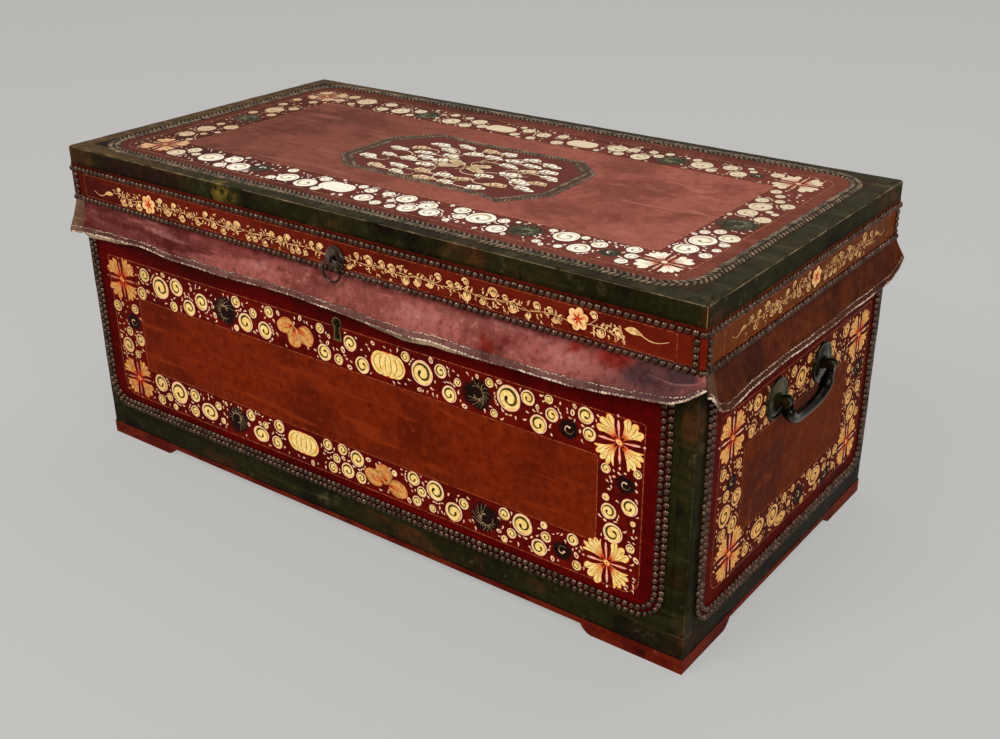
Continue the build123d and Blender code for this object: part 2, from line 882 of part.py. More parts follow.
# The swinging bail: two tongues, turned collars and a grip bent like a bow.
lean = radians(arm_tilt)
half_span = handle_spacing / 2
shoulder = collar_start + collar_length
fall = Vector(0, -tan(lean), -1).normalized()
rise = Vector(0, -tan(lean), 1).normalized()
back_pivot = Vector(pivot_x, half_span, handle_height)
front_pivot = Vector(pivot_x, -half_span, handle_height)
with BuildPart() as bail:
    with BuildLine(mode=Mode.PRIVATE) as route:
        Spline(
            back_pivot + fall * shoulder,
            (pivot_x, 0, handle_height - grip_drop),
            front_pivot - rise * shoulder,
            tangents=[fall, rise],
            tangent_scalars=[0.9, 0.9],
        )
    path = route.wires()[0]
    stations = 5
    for index in range(stations):
        share = index / (stations - 1)
        swell = abs(2 * share - 1) ** 1.5
        radius = grip_mid_radius + (grip_end_radius - grip_mid_radius) * swell
        with BuildSketch(Plane(origin=path @ share, z_dir=path % share)):
            Circle(radius)
    loft()
    for pivot, down in ((back_pivot, fall), (front_pivot, -rise)):
        # Turned collars between the tongue and the grip.
        base = Plane(
            origin=pivot + down * collar_start,
            x_dir=(1, 0, 0),
            z_dir=down.cross(Vector(1, 0, 0)),
        )
        step = collar_length / 4
        with BuildSketch(base):
            with BuildLine():
                Polyline(
                    (0, 0),
                    (0.78 * collar_radius, 0),
                    (0.66 * collar_radius, -1.3 * step),
                    (0.86 * collar_radius, -2.0 * step),
                    (0.76 * collar_radius, -2.8 * step),
                    (collar_radius, -3.3 * step),
                    (collar_radius, -4.0 * step),
                    (0, -4.0 * step),
                    close=True,
                )
            make_face()
        revolve(axis=Axis(pivot, down))
        # The flat tongue that turns on the rivet.
        tongue_length = collar_start + step / 2
        with BuildSketch(Plane(origin=pivot, x_dir=(0, 0, 1), z_dir=(0, 1, 0))):
            Circle(tongue_radius)
            with Locations((-tongue_length / 2, 0)):
                Rectangle(tongue_length, 1.6 * tongue_radius)
        extrude(amount=tongue_thickness / 2, both=True)
        with Locations(pivot):
            Cylinder(
                rivet_radius + rivet_gap,
                2 * tongue_thickness,
                rotation=(90, 0, 0),
                mode=Mode.SUBTRACT,
            )
finish(bail, "bail_right")
with BuildPart() as left_bail:
    mirror(bail.part, about=Plane.YZ)
finish(left_bail, "bail_left")
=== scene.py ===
# %% [markdown]
# # A painted leather dowry chest
# The chest is a camphor-wood box with a hinged cap lid, covered in lacquered
# leather. Green strips of leather are folded over its edges and held by rows of
# round nails, and flowers and scrolls are painted inside the nailed frames.
# The construction model gives the frame. This script dresses it: every new piece
# is placed by the sizes of the nodes that carry it, so nothing is fitted by eye.

# %% The fixed frame
import json
from math import cos, pi, radians, sin

import bmesh
import bpy
import numpy as np
from mathutils import Matrix, Vector


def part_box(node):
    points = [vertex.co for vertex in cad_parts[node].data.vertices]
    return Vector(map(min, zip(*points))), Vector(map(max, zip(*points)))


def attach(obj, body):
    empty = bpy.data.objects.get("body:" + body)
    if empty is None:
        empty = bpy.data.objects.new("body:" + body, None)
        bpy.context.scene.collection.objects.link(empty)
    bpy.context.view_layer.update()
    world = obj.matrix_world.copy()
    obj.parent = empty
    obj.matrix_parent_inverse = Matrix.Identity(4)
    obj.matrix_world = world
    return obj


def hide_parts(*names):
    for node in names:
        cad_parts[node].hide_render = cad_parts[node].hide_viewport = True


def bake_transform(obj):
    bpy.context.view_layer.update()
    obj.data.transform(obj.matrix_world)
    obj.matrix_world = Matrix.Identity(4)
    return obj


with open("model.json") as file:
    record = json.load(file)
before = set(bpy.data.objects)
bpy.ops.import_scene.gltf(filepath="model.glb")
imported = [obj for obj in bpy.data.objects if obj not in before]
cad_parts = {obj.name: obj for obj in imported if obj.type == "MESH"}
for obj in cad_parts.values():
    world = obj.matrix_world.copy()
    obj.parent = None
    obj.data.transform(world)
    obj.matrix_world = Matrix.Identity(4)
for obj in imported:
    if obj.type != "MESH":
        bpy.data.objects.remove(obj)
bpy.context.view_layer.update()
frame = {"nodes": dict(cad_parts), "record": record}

MM = 0.001

# %% [markdown]
# ## Camera
# The camera is worked out from the corners of the chest: its place, the direction
# it looks in, a small lean, and a 45.7 mm lens on a 36 mm wide sensor. A matrix
# made from three directions sets it in one step, with no Euler angles. The plain
# Standard view shows each colour as it is written, with no film curve.

# %% Camera
camera_at = (0.9652, -1.2133, 0.8706)
turn, tilt, lean = radians(36.91), radians(25.31), radians(-0.43)
looks = Vector((-sin(turn) * cos(tilt), cos(turn) * cos(tilt), -sin(tilt)))
level = looks.cross(Vector((0, 0, 1))).normalized()
above = level.cross(looks)
side_axis = cos(lean) * level + sin(lean) * above
up_axis = -sin(lean) * level + cos(lean) * above
camera = bpy.data.objects.new("camera", bpy.data.cameras.new("camera"))
camera.data.lens, camera.data.sensor_width = 45.73, 36.0
turned = Matrix((side_axis, up_axis, -looks)).transposed().to_4x4()
camera.matrix_world = Matrix.Translation(camera_at) @ turned
bpy.context.scene.collection.objects.link(camera)
bpy.context.scene.camera = camera
bpy.context.scene.view_settings.view_transform = "Standard"
print("camera at", [round(v, 3) for v in camera.matrix_world.translation])

# %% [markdown]
# ## Small helpers for nodes
# A material is a tree of nodes. Writing each link by hand is long, so `put` makes
# a node, sets its properties and feeds its sockets: a value that is itself a
# socket is linked, and any other value is written into the socket. A `Value` is a
# number that some node gives. Plain signs between values add Math nodes, so that a
# mask in a shader reads like the formula it stands for.


# %% Helpers for nodes
def feed(node, **inputs):
    """Links or writes sockets. Keys are socket names, or i0, i1... for sockets by number."""
    for name, value in inputs.items():
        by_number = name[0] == "i" and name[1:].isdigit()
        socket = node.inputs[int(name[1:]) if by_number else name.replace("_", " ")]
        value = value.socket if isinstance(value, Value) else value
        if isinstance(value, bpy.types.NodeSocket):
            node.id_data.links.new(value, socket)
        else:
            socket.default_value = value


def put(tree, kind, props=None, **inputs):
    """Adds a node, sets its properties and feeds its sockets."""
    node = tree.nodes.new(kind)
    for name, value in (props or {}).items():
        setattr(node, name, value)
    feed(node, **inputs)
    return node


def math_node(tree, operation, *values):
    """One arithmetic step on numbers, sockets or values."""
    feeds = {f"i{k}": v for k, v in enumerate(values)}
    return Value(put(tree, "ShaderNodeMath", {"operation": operation}, **feeds).outputs[0])


class Value:
    """A number or a vector that a node gives. Each sign adds one Math node."""

    def __init__(self, socket):
        self.socket = socket
        self.tree = socket.id_data

    def math(self, operation, *others):
        """One arithmetic step on this value, by the name that Blender gives it."""
        return math_node(self.tree, operation, self, *others)

    def __add__(self, other):
        return self.math("ADD", other)

    def __sub__(self, other):
        return self.math("SUBTRACT", other)

    def __rsub__(self, other):
        return math_node(self.tree, "SUBTRACT", other, self)

    def __mul__(self, other):
        return self.math("MULTIPLY", other)

    def __truediv__(self, other):
        return self.math("DIVIDE", other)

    def __abs__(self):
        return self.math("ABSOLUTE")

    def step(self, low, high):
        """0 at low and 1 at high, with a soft change between them. High may be the lower one."""
        node = put(self.tree, "ShaderNodeMapRange", {"interpolation_type": "SMOOTHSTEP"},
                   Value=self, From_Min=low, From_Max=high)
        return Value(node.outputs["Result"])

    def mapped(self, low, high, at_low, at_high):
        """A straight line through two points, level outside them."""
        node = put(self.tree, "ShaderNodeMapRange", Value=self, From_Min=low, From_Max=high,
                   To_Min=at_low, To_Max=at_high)
        return Value(node.outputs["Result"])


def split(tree, vector):
    """The three numbers of a vector."""
    return [Value(part) for part in put(tree, "ShaderNodeSeparateXYZ", Vector=vector).outputs]


def noise(tree, at, scale, detail, **more):
    """A cloudy number about one half. A larger scale gives smaller clouds."""
    node = put(tree, "ShaderNodeTexNoise", Vector=at, Scale=scale, Detail=detail, **more)
    return Value(node.outputs["Fac"])


def blend_colours(tree, share, first, second, kind="MIX"):
    """Mixes two colours by a share from 0 to 1."""
    mix = {"data_type": "RGBA", "blend_type": kind}
    return put(tree, "ShaderNodeMix", mix, i0=share, i6=first, i7=second).outputs[2]


def tint(red, green, blue):
    """A colour of 0 to 255 as a screen shows it, as linear light for Blender."""
    shown = np.array([red, green, blue]) / 255
    light = np.where(shown <= 0.04045, shown / 12.92, ((shown + 0.055) / 1.055) ** 2.4)
    return (*[float(v) for v in light], 1.0)


print("helpers ready, mid grey is", round(tint(128, 128, 128)[0], 3))

# %% [markdown]
# ## Floor and light
# A plain pale sweep lies under the chest. Here the floor is one very large plane.
# Part of its brightness is its own, seen only by camera, mirror and glass rays,
# which keeps the backdrop even; the rest is lit, so that it still takes the shadow
# of the chest. The world gives most of the light and three large soft lamps give
# shape.

# %% Floor and light
backdrop = tint(187, 186, 184)
OWN_LIGHT = 0.8
FLOOR = 40


def seen_rays(tree):
    """1 for the rays that show the backdrop: camera, glossy and transmission."""
    path = put(tree, "ShaderNodeLightPath").outputs
    seen, glossy, through = (Value(path[f"Is {kind} Ray"]) for kind in ("Camera", "Glossy", "Transmission"))
    return seen.math("MAXIMUM", glossy).math("MAXIMUM", through)


world = bpy.data.worlds.new("studio")
bpy.context.scene.world = world
world.use_nodes = True
tree = world.node_tree
tree.nodes.clear()
light = put(tree, "ShaderNodeBackground", Color=(1.0, 0.985, 0.96, 1.0), Strength=0.68)
shown = put(tree, "ShaderNodeBackground", Color=backdrop, Strength=1.0)
both = put(tree, "ShaderNodeMixShader", i0=seen_rays(tree), i1=light.outputs[0], i2=shown.outputs[0])
put(tree, "ShaderNodeOutputWorld", Surface=both.outputs[0])

sweep = bpy.data.materials.new("studio sweep")
sweep.use_nodes = True
tree = sweep.node_tree
tree.nodes.clear()
lit = put(tree, "ShaderNodeBsdfDiffuse", Color=tint(206, 205, 203))
own = put(tree, "ShaderNodeEmission", Color=tint(184, 183, 181), Strength=1.0)
both = put(tree, "ShaderNodeMixShader", i0=seen_rays(tree) * OWN_LIGHT, i1=lit.outputs[0], i2=own.outputs[0])
put(tree, "ShaderNodeOutputMaterial", Surface=both.outputs[0])

floor_mesh = bpy.data.meshes.new("floor")
corners = [(-FLOOR, -FLOOR, 0), (FLOOR, -FLOOR, 0), (FLOOR, FLOOR, 0), (-FLOOR, FLOOR, 0)]
floor_mesh.from_pydata(corners, [], [(0, 1, 2, 3)])
floor = bpy.data.objects.new("floor", floor_mesh)
floor_mesh.materials.append(sweep)
bpy.context.scene.collection.objects.link(floor)


def soft_lamp(name, place, size, power):
    """A large square lamp that faces the middle of the chest."""
    lamp = bpy.data.objects.new(name, bpy.data.lights.new(name, "AREA"))
    lamp.data.size, lamp.data.energy = size, power
    lamp.location = place
    lamp.rotation_euler = (Vector((0, 0, 0.2)) - Vector(place)).to_track_quat("-Z", "Y").to_euler()
    bpy.context.scene.collection.objects.link(lamp)


soft_lamp("key lamp", (-0.6, -2.8, 2.9), 1.6, 76)
soft_lamp("side lamp", (3.4, -1.2, 1.9), 1.6, 36)
soft_lamp("high lamp", (0.3, 1.5, 3.4), 2.4, 34)
print("floor and lamps set")

# %% [markdown]
# ## Faces as drawing boards
# All ornament is drawn flat, in millimetres, on the face that carries it. A face is
# an origin and three directions: u to the right, v up, and n outwards. The origin
# comes from the box of the leather node under it.

# %% Faces
case_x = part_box("right_leather")[1].x
case_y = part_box("back_leather")[1].y
lid_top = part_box("lid_leather")[1].z
band_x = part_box("lid_band_right")[1].x
band_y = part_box("lid_band_back")[1].y
lid_x, lid_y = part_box("lid_edging_right")[1].x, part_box("lid_edging_back")[1].y
SIDES = {"front": (1, 0), "right": (0, 1), "back": (-1, 0), "left": (0, -1)}
FACES = {"top": dict(at=(0, 0, lid_top), u=(1, 0, 0), v=(0, 1, 0), n=(0, 0, 1), body="lid")}
for name, (ux, uy) in SIDES.items():
    n = np.array((uy, -ux, 0.0))
    for part, half, body in (("", (case_x, case_y), "case"), ("_band", (band_x, band_y), "lid")):
        FACES[name + part] = dict(at=n * (half[0] if uy else half[1]), u=(ux, uy, 0), v=(0, 0, 1),
                                  n=n, body=body)


def on_face(face, flat, lift):
    """Flat points in millimetres and heights in millimetres, as points in space.

    place = origin + u * across + v * up + n * lift
    """
    f = FACES[face]
    u, v, n = (np.array(f[k], float) for k in "uvn")
    flat = np.asarray(flat, float) * MM
    lift = np.broadcast_to(lift, flat.shape[:-1]) * MM
    return np.array(f["at"]) + flat[..., :1] * u + flat[..., 1:2] * v + lift[..., None] * n


def new_piece(name, points, faces, material, body, smooth=True, uv=None, closed=False):
    """A mesh object at the origin, in metres, that rides on a body.

    A closed piece whose signed volume is negative is inside out, so it is turned.
    """
    mesh = bpy.data.meshes.new(name)
    mesh.from_pydata(np.asarray(points).reshape(-1, 3), [], faces)
    mesh.validate()
    if closed:
        shell = bmesh.new()
        shell.from_mesh(mesh)
        if shell.calc_volume(signed=True) < 0:
            mesh.flip_normals()
        shell.free()
    mesh.polygons.foreach_set("use_smooth", np.full(len(mesh.polygons), smooth))
    if uv is not None:
        loops = np.zeros(len(mesh.loops), np.int32)
        mesh.loops.foreach_get("vertex_index", loops)
        layer = mesh.uv_layers.new(name="UVMap")
        layer.data.foreach_set("uv", np.asarray(uv, np.float32).reshape(-1, 2)[loops].ravel())
    mesh.materials.append(material)
    piece = bpy.data.objects.new(name, mesh)
    bpy.context.scene.collection.objects.link(piece)
    if body:
        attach(piece, body)
    return piece


def grid_faces(rows, columns, wrap=False, start=0):
    """Quads between neighbours of a grid of rows x columns points."""
    i = np.arange(rows - 1)[:, None] * columns
    j = np.arange(columns if wrap else columns - 1)[None, :]
    k = (j + 1) % columns
    quads = np.stack([i + j, i + k, i + columns + k, i + columns + j], -1)
    return (quads.reshape(-1, 4) + start).tolist()


print(len(FACES), "faces to draw on")

# %% [markdown]
# ## Frames on each face
# The painting follows nested frames: a double row of nails, a gold line, a border
# of flowers, a second gold line, and a plain field. Each frame is a rectangle with
# rounded corners, wider at the foot of the front and the ends. The same numbers
# drive the paint under the nails, the nails and the lines, so they can't drift apart.

# %% Frames
PITCH = 8.2
# Each frame: left, right, low, high, radius of the low corners, radius of the high corners.
FRAMES = {
    "front": dict(nails=(-460, 440, 55, 344, 34, 8), nails2=(-452, 432, 63, 336, 27, 6),
                  outer=(-429, 412, 76, 282, 22, 3), inner=(-374, 357, 125, 230, 8, 3)),
    "right": dict(nails=(-213, 222, 48, 344, 30, 8), nails2=(-205, 214, 56, 336, 24, 6),
                  outer=(-184, 200, 75, 284, 16, 3), inner=(-127, 140, 119, 229, 6, 3)),
    "top": dict(nails=(-443, 444, -223, 223, 50, 50), nails2=(-435, 436, -215, 215, 43, 43),
                outer=(-416, 416, -199, 189, 22, 22), inner=(-356, 362, -142, 130, 5, 5)),
}
FRAMES["back"], FRAMES["left"] = FRAMES["front"], FRAMES["right"]


def run_along(line):
    """Length of a flat line from its start to each of its points."""
    return np.concatenate([[0], np.cumsum(np.hypot(*np.diff(line, axis=0).T))])


def even_points(corners, pitch):
    """Points on a closed line at equal steps of its length, about one pitch apart."""
    line = np.vstack([corners, corners[:1]])
    run = run_along(line)
    count = max(3, round(run[-1] / pitch))
    steps = np.arange(count) * run[-1] / count
    return np.stack([np.interp(steps, run, line[:, k]) for k in (0, 1)], 1)


def rounded_outline(frame_sizes, pitch):
    """Even points round a rounded rectangle, counter-clockwise.

    Four quarter circles are joined by straight runs, then the line is cut evenly.
    """
    x0, x1, y0, y1, low, high = frame_sizes
    corner = np.linspace(0, pi / 2, 24)
    parts = [
        (x1 - low, y0 + low, low, -pi / 2), (x1 - high, y1 - high, high, 0),
        (x0 + high, y1 - high, high, pi / 2), (x0 + low, y0 + low, low, pi),
    ]
    line = np.concatenate([
        np.stack([cx + r * np.cos(a + corner), cy + r * np.sin(a + corner)], 1)
        for cx, cy, r, a in parts
    ])
    return even_points(line, pitch)


print("front nails on one row:", len(rounded_outline(FRAMES["front"]["nails"], PITCH)))

# %% [markdown]
# ## Leather
# Lacquered leather is dark and satin with a fine pebbled grain, soft creases and
# larger clouds of fading. Two node groups carry what every leather here shares: one
# makes the grain and the clouds, and the other measures how far a point is outside
# a rounded frame, so that one shader can paint field, border and green edge.


# %% Node groups for leather
def new_group(name, inputs, outputs):
    """A node group with named sockets: its tree, its given sockets and its result node."""
    group = bpy.data.node_groups.new(name, "ShaderNodeTree")
    for way, sockets in (("INPUT", inputs), ("OUTPUT", outputs)):
        for title, kind, value in sockets:
            made = group.interface.new_socket(name=title, in_out=way, socket_type="NodeSocket" + kind)
            if value is not None:
                made.default_value = value
    given = group.nodes.new("NodeGroupInput").outputs
    result = group.nodes.new("NodeGroupOutput")
    return group, [Value(given[k]) for k in range(len(inputs))], result


def frame_distance_group():
    """Distance outside a rounded rectangle, negative inside, on flat coordinates.

    q = |point - centre| - half size + radius
    distance = length of max(q, 0) + min(max(q.x, q.y), 0) - radius
    """
    numbers = {"Across": 0.0, "Up": 0.0, "Centre Across": 0.0, "Centre Up": 0.0, "Half Across": 1.0,
               "Half Up": 1.0, "Radius": 0.0}
    group, given, result = new_group(
        "distance from frame", [(title, "Float", value) for title, value in numbers.items()],
        [("Distance", "Float", None)])
    radius = given[6]
    q = [abs(given[k] - given[k + 2]) - given[k + 4] + radius for k in (0, 1)]
    beyond = [part.math("MAXIMUM", 0.0) for part in q]
    outside = (beyond[0] * beyond[0] + beyond[1] * beyond[1]).math("SQRT")
    inside = q[0].math("MAXIMUM", q[1]).math("MINIMUM", 0.0)
    feed(result, Distance=outside + inside - radius)
    return group


def leather_group():
    """Clouds, mottling, grain relief, rubbed streaks and pale specks of leather.

    Relief = half the pebbles + a third of the creases + 0.6 of the mottling. A speck
    is a small round spot about the few lucky points of a scatter.
    """
    titles = ("Cloud", "Mottle", "Height", "Streak", "Speck")
    group, (place, grain), result = new_group(
        "leather grain", [("Position", "Vector", None), ("Grain", "Float", 900.0)],
        [(title, "Float", None) for title in titles])
    cloud = noise(group, place, 8.0, 5.0, Roughness=0.58)
    mottle = put(group, "ShaderNodeTexNoise", Vector=place, Scale=85.0, Detail=9.0, Roughness=0.78).outputs
    warp = put(group, "ShaderNodeVectorMath", {"operation": "MULTIPLY_ADD"}, i0=mottle["Color"],
               i1=(0.004, 0.004, 0.004), i2=place)
    cells = put(group, "ShaderNodeTexVoronoi", {"feature": "DISTANCE_TO_EDGE"},
                Vector=warp.outputs[0], Scale=grain)
    pebble = Value(cells.outputs["Distance"]).step(0.0, 0.25)
    crease = put(group, "ShaderNodeTexNoise", {"noise_type": "RIDGED_MULTIFRACTAL"},
                 Vector=place, Scale=34.0, Detail=4.0, Roughness=0.5)
    mottled = Value(mottle["Fac"])
    height = pebble * 0.5 + Value(crease.outputs["Fac"]) * 0.35 + mottled * 0.6
    drawn = put(group, "ShaderNodeMapping", Vector=place, Rotation=(0.2, 0.3, 0.35), Scale=(7.0, 60.0, 60.0))
    streak = noise(group, drawn.outputs[0], 1.0, 5.0, Distortion=0.8).step(0.56, 0.68)
    dots = put(group, "ShaderNodeTexVoronoi", {"feature": "F1"}, Vector=place, Scale=42.0).outputs
    lucky = Value(put(group, "ShaderNodeSeparateColor", Color=dots["Color"]).outputs[0])
    speck = lucky.step(0.86, 0.9) * (1.0 - Value(dots["Distance"]).step(0.02, 0.045))
    feed(result, **dict(zip(titles, (cloud, mottled, height, streak, speck))))
    return group


FRAME_DISTANCE = frame_distance_group()
LEATHER_GRAIN = leather_group()
print("groups:", FRAME_DISTANCE.name, "and", LEATHER_GRAIN.name)

# %% [markdown]
# A material is mixed like a real finish: it starts from one colour, and wash after
# wash is laid over it through a mask. `Finish` keeps the colour so far, and `done`
# feeds it to the shader with a relief and the other sockets.


# %% Materials made from leather
class Finish:
    """A material while it is mixed: its tree, shader, place on the piece and colour so far."""

    def __init__(self, name, colour, specular=0.5):
        self.material = bpy.data.materials.new(name)
        self.material.use_nodes = True
        self.tree = self.material.node_tree
        self.tree.nodes.clear()
        self.shader = put(self.tree, "ShaderNodeBsdfPrincipled", Specular_IOR_Level=specular)
        put(self.tree, "ShaderNodeOutputMaterial", Surface=self.shader.outputs[0])
        self.place = put(self.tree, "ShaderNodeTexCoord").outputs["Object"]
        self.colour = colour

    def axes(self):
        """The place as three numbers, in metres: across, deep and high."""
        return split(self.tree, self.place)

    def moved(self, at=None, **mapping):
        """The place, or another one, after a shift, a turn and a stretch."""
        at = self.place if at is None else at
        return put(self.tree, "ShaderNodeMapping", Vector=at, **mapping).outputs[0]

    def noise(self, scale, detail, at=None, **more):
        """A cloudy number at the place, or at another one."""
        return noise(self.tree, self.place if at is None else at, scale, detail, **more)

    def times(self, factor):
        """The colour so far times a factor for each of red, green and blue."""
        return blend_colours(self.tree, 1.0, self.colour, factor, "MULTIPLY")

    def wash(self, share, colour):
        """Lays a colour over the colour so far, as far as the share says."""
        self.colour = blend_colours(self.tree, share, self.colour, colour)

    def done(self, height, strength, distance, **inputs):
        """Feeds the colour, a Bump node and the other sockets, and gives the material."""
        bump = put(self.tree, "ShaderNodeBump", Height=height, Strength=strength, Distance=distance)
        feed(self.shader, Base_Color=self.colour, Normal=bump.outputs[0], **inputs)
        return self.material


def leather_finish(look, gloss=(0.34, 0.52), fade=(1.4, 1.7, 1.7, 1.0), depth=0.0003, uneven=0.75,
                   speck=tint(196, 170, 140)):
    """Clouds and mottling over the colour so far, with gloss and relief to match.

    Low clouds and low mottling darken, high mottling and streaks fade, specks pale.
    """
    skin = put(look.tree, "ShaderNodeGroup", {"node_tree": LEATHER_GRAIN}, Position=look.place).outputs
    cloud, mottle, height, streak, dots = (Value(skin[k]) for k in range(5))
    dark, faded = look.times((0.52, 0.44, 0.40, 1.0)), look.times(fade)
    look.wash(cloud.step(0.56, 0.38) * 0.8, dark)
    look.wash(mottle.step(0.52, 0.36) * uneven, dark)
    look.wash(mottle.step(0.52, 0.68) * (1.2 * uneven), faded)
    look.wash(streak * 0.7, faded)
    look.wash(dots * 0.55, speck)
    return look.done(height, 0.5, depth, Roughness=cloud.mapped(0.3, 0.7, *gloss))


GREEN = tint(33, 30, 10)
# The upper face of the lid's edging: painted paler and greyer, for the light that falls on it from above.
LIT_GREEN_TOP = tint(46, 42, 27)
# Heights in metres over which the case leather darkens under the skirt: a painted shadow of the flap.
SKIRT_SHADOW_BAND = (0.284, 0.314)


def frame_measure(tree, u, v, x0, x1, y0, y1, radius):
    """Distance of flat coordinates u and v from a frame given in millimetres."""
    return Value(put(tree, "ShaderNodeGroup", {"node_tree": FRAME_DISTANCE}, Across=u, Up=v,
                     Centre_Across=(x0 + x1) / 2 * MM, Centre_Up=(y0 + y1) / 2 * MM,
                     Half_Across=(x1 - x0) / 2 * MM, Half_Up=(y1 - y0) / 2 * MM,
                     Radius=radius * MM).outputs[0])


def panel_leather(name, across, up, frames, colours, mirror=1, strip=-4.0, darker=None, **finish):
    """Leather with a field, a flower border, an outer border and a green edge.

    darker names two places across, and the leather darkens by two fifths from one to the
    other. Without them it darkens towards the top: a painted shadow of the skirt that
    hangs over it.
    """
    look = Finish(name, colours[0], 0.012)
    axes = look.axes()
    u, v = axes[across], axes[up]
    if mirror < 0:
        u = u * -1.0
    for key, colour, soft in zip(("inner", "outer", "nails"), colours[1:], (0.6, 0.6, 1.2)):
        away = frame_measure(look.tree, u, v, *frames[key][:5])
        start = strip if key == "nails" else -soft
        look.wash(away.step(start * MM, (start + 2 * soft) * MM), colour)
    deep = look.times((0.60, 0.60, 0.55, 1.0))
    if darker:
        look.wash(u.step(*darker), deep)
    else:
        # Painted shadow of the skirt on the leather just below it.
        look.wash(v.step(*SKIRT_SHADOW_BAND) * 0.8, deep)
    return leather_finish(look, **finish)


front_tones = (tint(108, 31, 6), tint(90, 10, 3), tint(80, 3, 1), GREEN)
side_tones = (tint(94, 34, 4), tint(80, 20, 3), tint(78, 8, 1), GREEN)
# The lid's top is paler and rosier than the sides: partly its own fading, partly a painted sheen of the light
# on the top.
top_tones_with_sheen = (tint(142, 80, 67), tint(104, 51, 41), tint(108, 56, 44), tint(50, 38, 26))
front_leather = panel_leather("front leather", 0, 2, FRAMES["front"], front_tones)
back_leather = panel_leather("back leather", 0, 2, FRAMES["back"], front_tones, mirror=-1)
right_leather = panel_leather("right leather", 1, 2, FRAMES["right"], side_tones)
left_leather = panel_leather("left leather", 1, 2, FRAMES["left"], side_tones, mirror=-1)
top_leather = panel_leather("lid leather", 0, 1, FRAMES["top"], top_tones_with_sheen, strip=-13.0, darker=(0.30, -0.42),
                            fade=(1.25, 1.4, 1.45, 1.0), gloss=(0.4, 0.58), uneven=0.55)
print("leather materials:", len([m for m in bpy.data.materials if "leather" in m.name]))

# %% [markdown]
# ## Leather that shows wear at its edges
# Green strips rub pale along the arris, where they were folded tightest, and brown
# at the left end, where the chest stood in the light; on the lid the edging's upper
# face is painted paler, for the light that falls on it from above. The red band is
# rubbed at its corners, and their sheen is painted in as a deeper red. Where an arris
# runs is known from the sizes, so a mask is worked out
# from the position: near the top edge, or near both upright faces.


# %% Worn strips
def arris_mask(axes, half_x, half_y, width, top=None):
    """1 on the folded edges of a box-shaped wrapping, fading over a width in mm.

    Near an upright arris both |x| and |y| are near the half sizes. Near the top
    arris the height is near the top and one of the two is near its half size.
    """
    near = [abs(axis).step(half - width * MM, half - 0.3 * width * MM)
            for axis, half in zip(axes, (half_x, half_y))]
    mask = near[0] * near[1]
    if top is not None:
        high = axes[2].step(top - width * MM, top - 0.3 * width * MM)
        mask = mask.math("MAXIMUM", near[0].math("MAXIMUM", near[1]) * high)
    return mask


def green_strip(name, half_x, half_y, top, colour, rubbed, brown_left=0.0):
    """Green leather with a pale arris, brown and dark patches and scuffs.

    With a top, it is the edging of the lid: its upper face is painted paler, for the
    light that falls on it from above, it has browned towards the left end, one stretch
    is stained, one spot is rubbed yellow, and seams show as dark lines. Without, it is
    the foot of the case, with a pale lap.
    """
    look = Finish(name, colour, 0.02)
    x, y, z = look.axes()
    edge = arris_mask((x, y, z), half_x, half_y, 1.7, top)
    rub = look.noise(48.0, 4.0)
    patch = look.noise(11.0, 4.0, Roughness=0.6)
    look.wash(patch.step(0.54, 0.66), tint(60, 36, 14))
    look.wash(patch.step(0.44, 0.34), tint(20, 14, 7))
    if top is not None:
        # Painted light: the upper face is paler and greyer than the walls.
        upper = z.step(top - 1.2 * MM, top - 0.2 * MM)
        look.wash(upper * 0.75, LIT_GREEN_TOP)
        end_or_upper = upper.math("MAXIMUM", x.step(-0.471, -0.474))
        look.wash(x.step(-0.20, -0.44) * brown_left * end_or_upper, tint(84, 60, 30))
        stained = x.step(-0.23, -0.27) * x.step(-0.42, -0.40) * z.step(top - 1.0 * MM, top - 5 * MM)
        look.wash(stained * 0.85, tint(34, 14, 9))
        spot = abs(x + 0.178).step(0.034, 0.008) * rub.step(0.42, 0.56) * y.step(0.0, -0.05)
        look.wash(spot * 0.5, tint(120, 98, 32))
        for axis, seam in ((y, 0.176), (x, -0.404), (x, 0.262)):
            look.wash(abs(axis - seam).step(0.0014, 0.0005) * 0.8, tint(20, 16, 10))
    else:
        right_end = x.step(0.385, 0.40)
        look.wash(abs(z - 0.0455).step(0.0014, 0.0006) * right_end * 0.6, tint(118, 102, 74))
        look.wash(z.step(0.044, 0.040) * right_end * 0.5, tint(24, 15, 8))
    look.wash(look.noise(36.0, 9.0, Roughness=0.75).step(0.57, 0.66) * 0.35, tint(92, 88, 60))
    look.wash(edge * rub.step(0.30, 0.52) * rubbed, tint(150, 132, 100))
    return leather_finish(look, gloss=(0.3, 0.5), fade=(1.9, 1.9, 1.9, 1.0), uneven=0.8,
                          speck=tint(170, 156, 126))


def band_strip(name, colour):
    """Leather of the lid band: a deeper red on its rubbed corners, painted for their sheen, dark at the left
    and along the nails.
    """
    look = Finish(name, colour, 0.02)
    axes = look.axes()
    # Painted sheen: the rubbed upright corners get a deeper red that stands for their gloss; the roughness
    # stays the same.
    look.wash(arris_mask(axes, band_x, band_y, 5.0) * 0.8, tint(104, 16, 8))
    look.wash(axes[0].step(-0.25, -0.42) * 0.6, tint(66, 14, 6))
    # Darker along the top and bottom edges of the band, where the nail rows run.
    near_nail_rows = axes[2].step(0.388, 0.396).math("MAXIMUM", axes[2].step(0.363, 0.357))
    look.wash(near_nail_rows * 0.45, tint(56, 12, 6))
    return leather_finish(look, gloss=(0.24, 0.4), uneven=0.45)


edging_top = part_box("lid_edging_front")[1].z
green_edging = green_strip("green edging leather", lid_x, lid_y, edging_top, GREEN, 0.9, 0.75)
green_leather = green_strip("green leather", case_x, case_y, None, GREEN, 0.18)
band_leather = band_strip("band leather", tint(98, 23, 7))
side_band_leather = band_strip("side band leather", tint(100, 46, 10))
print("worn strips: 4 materials")
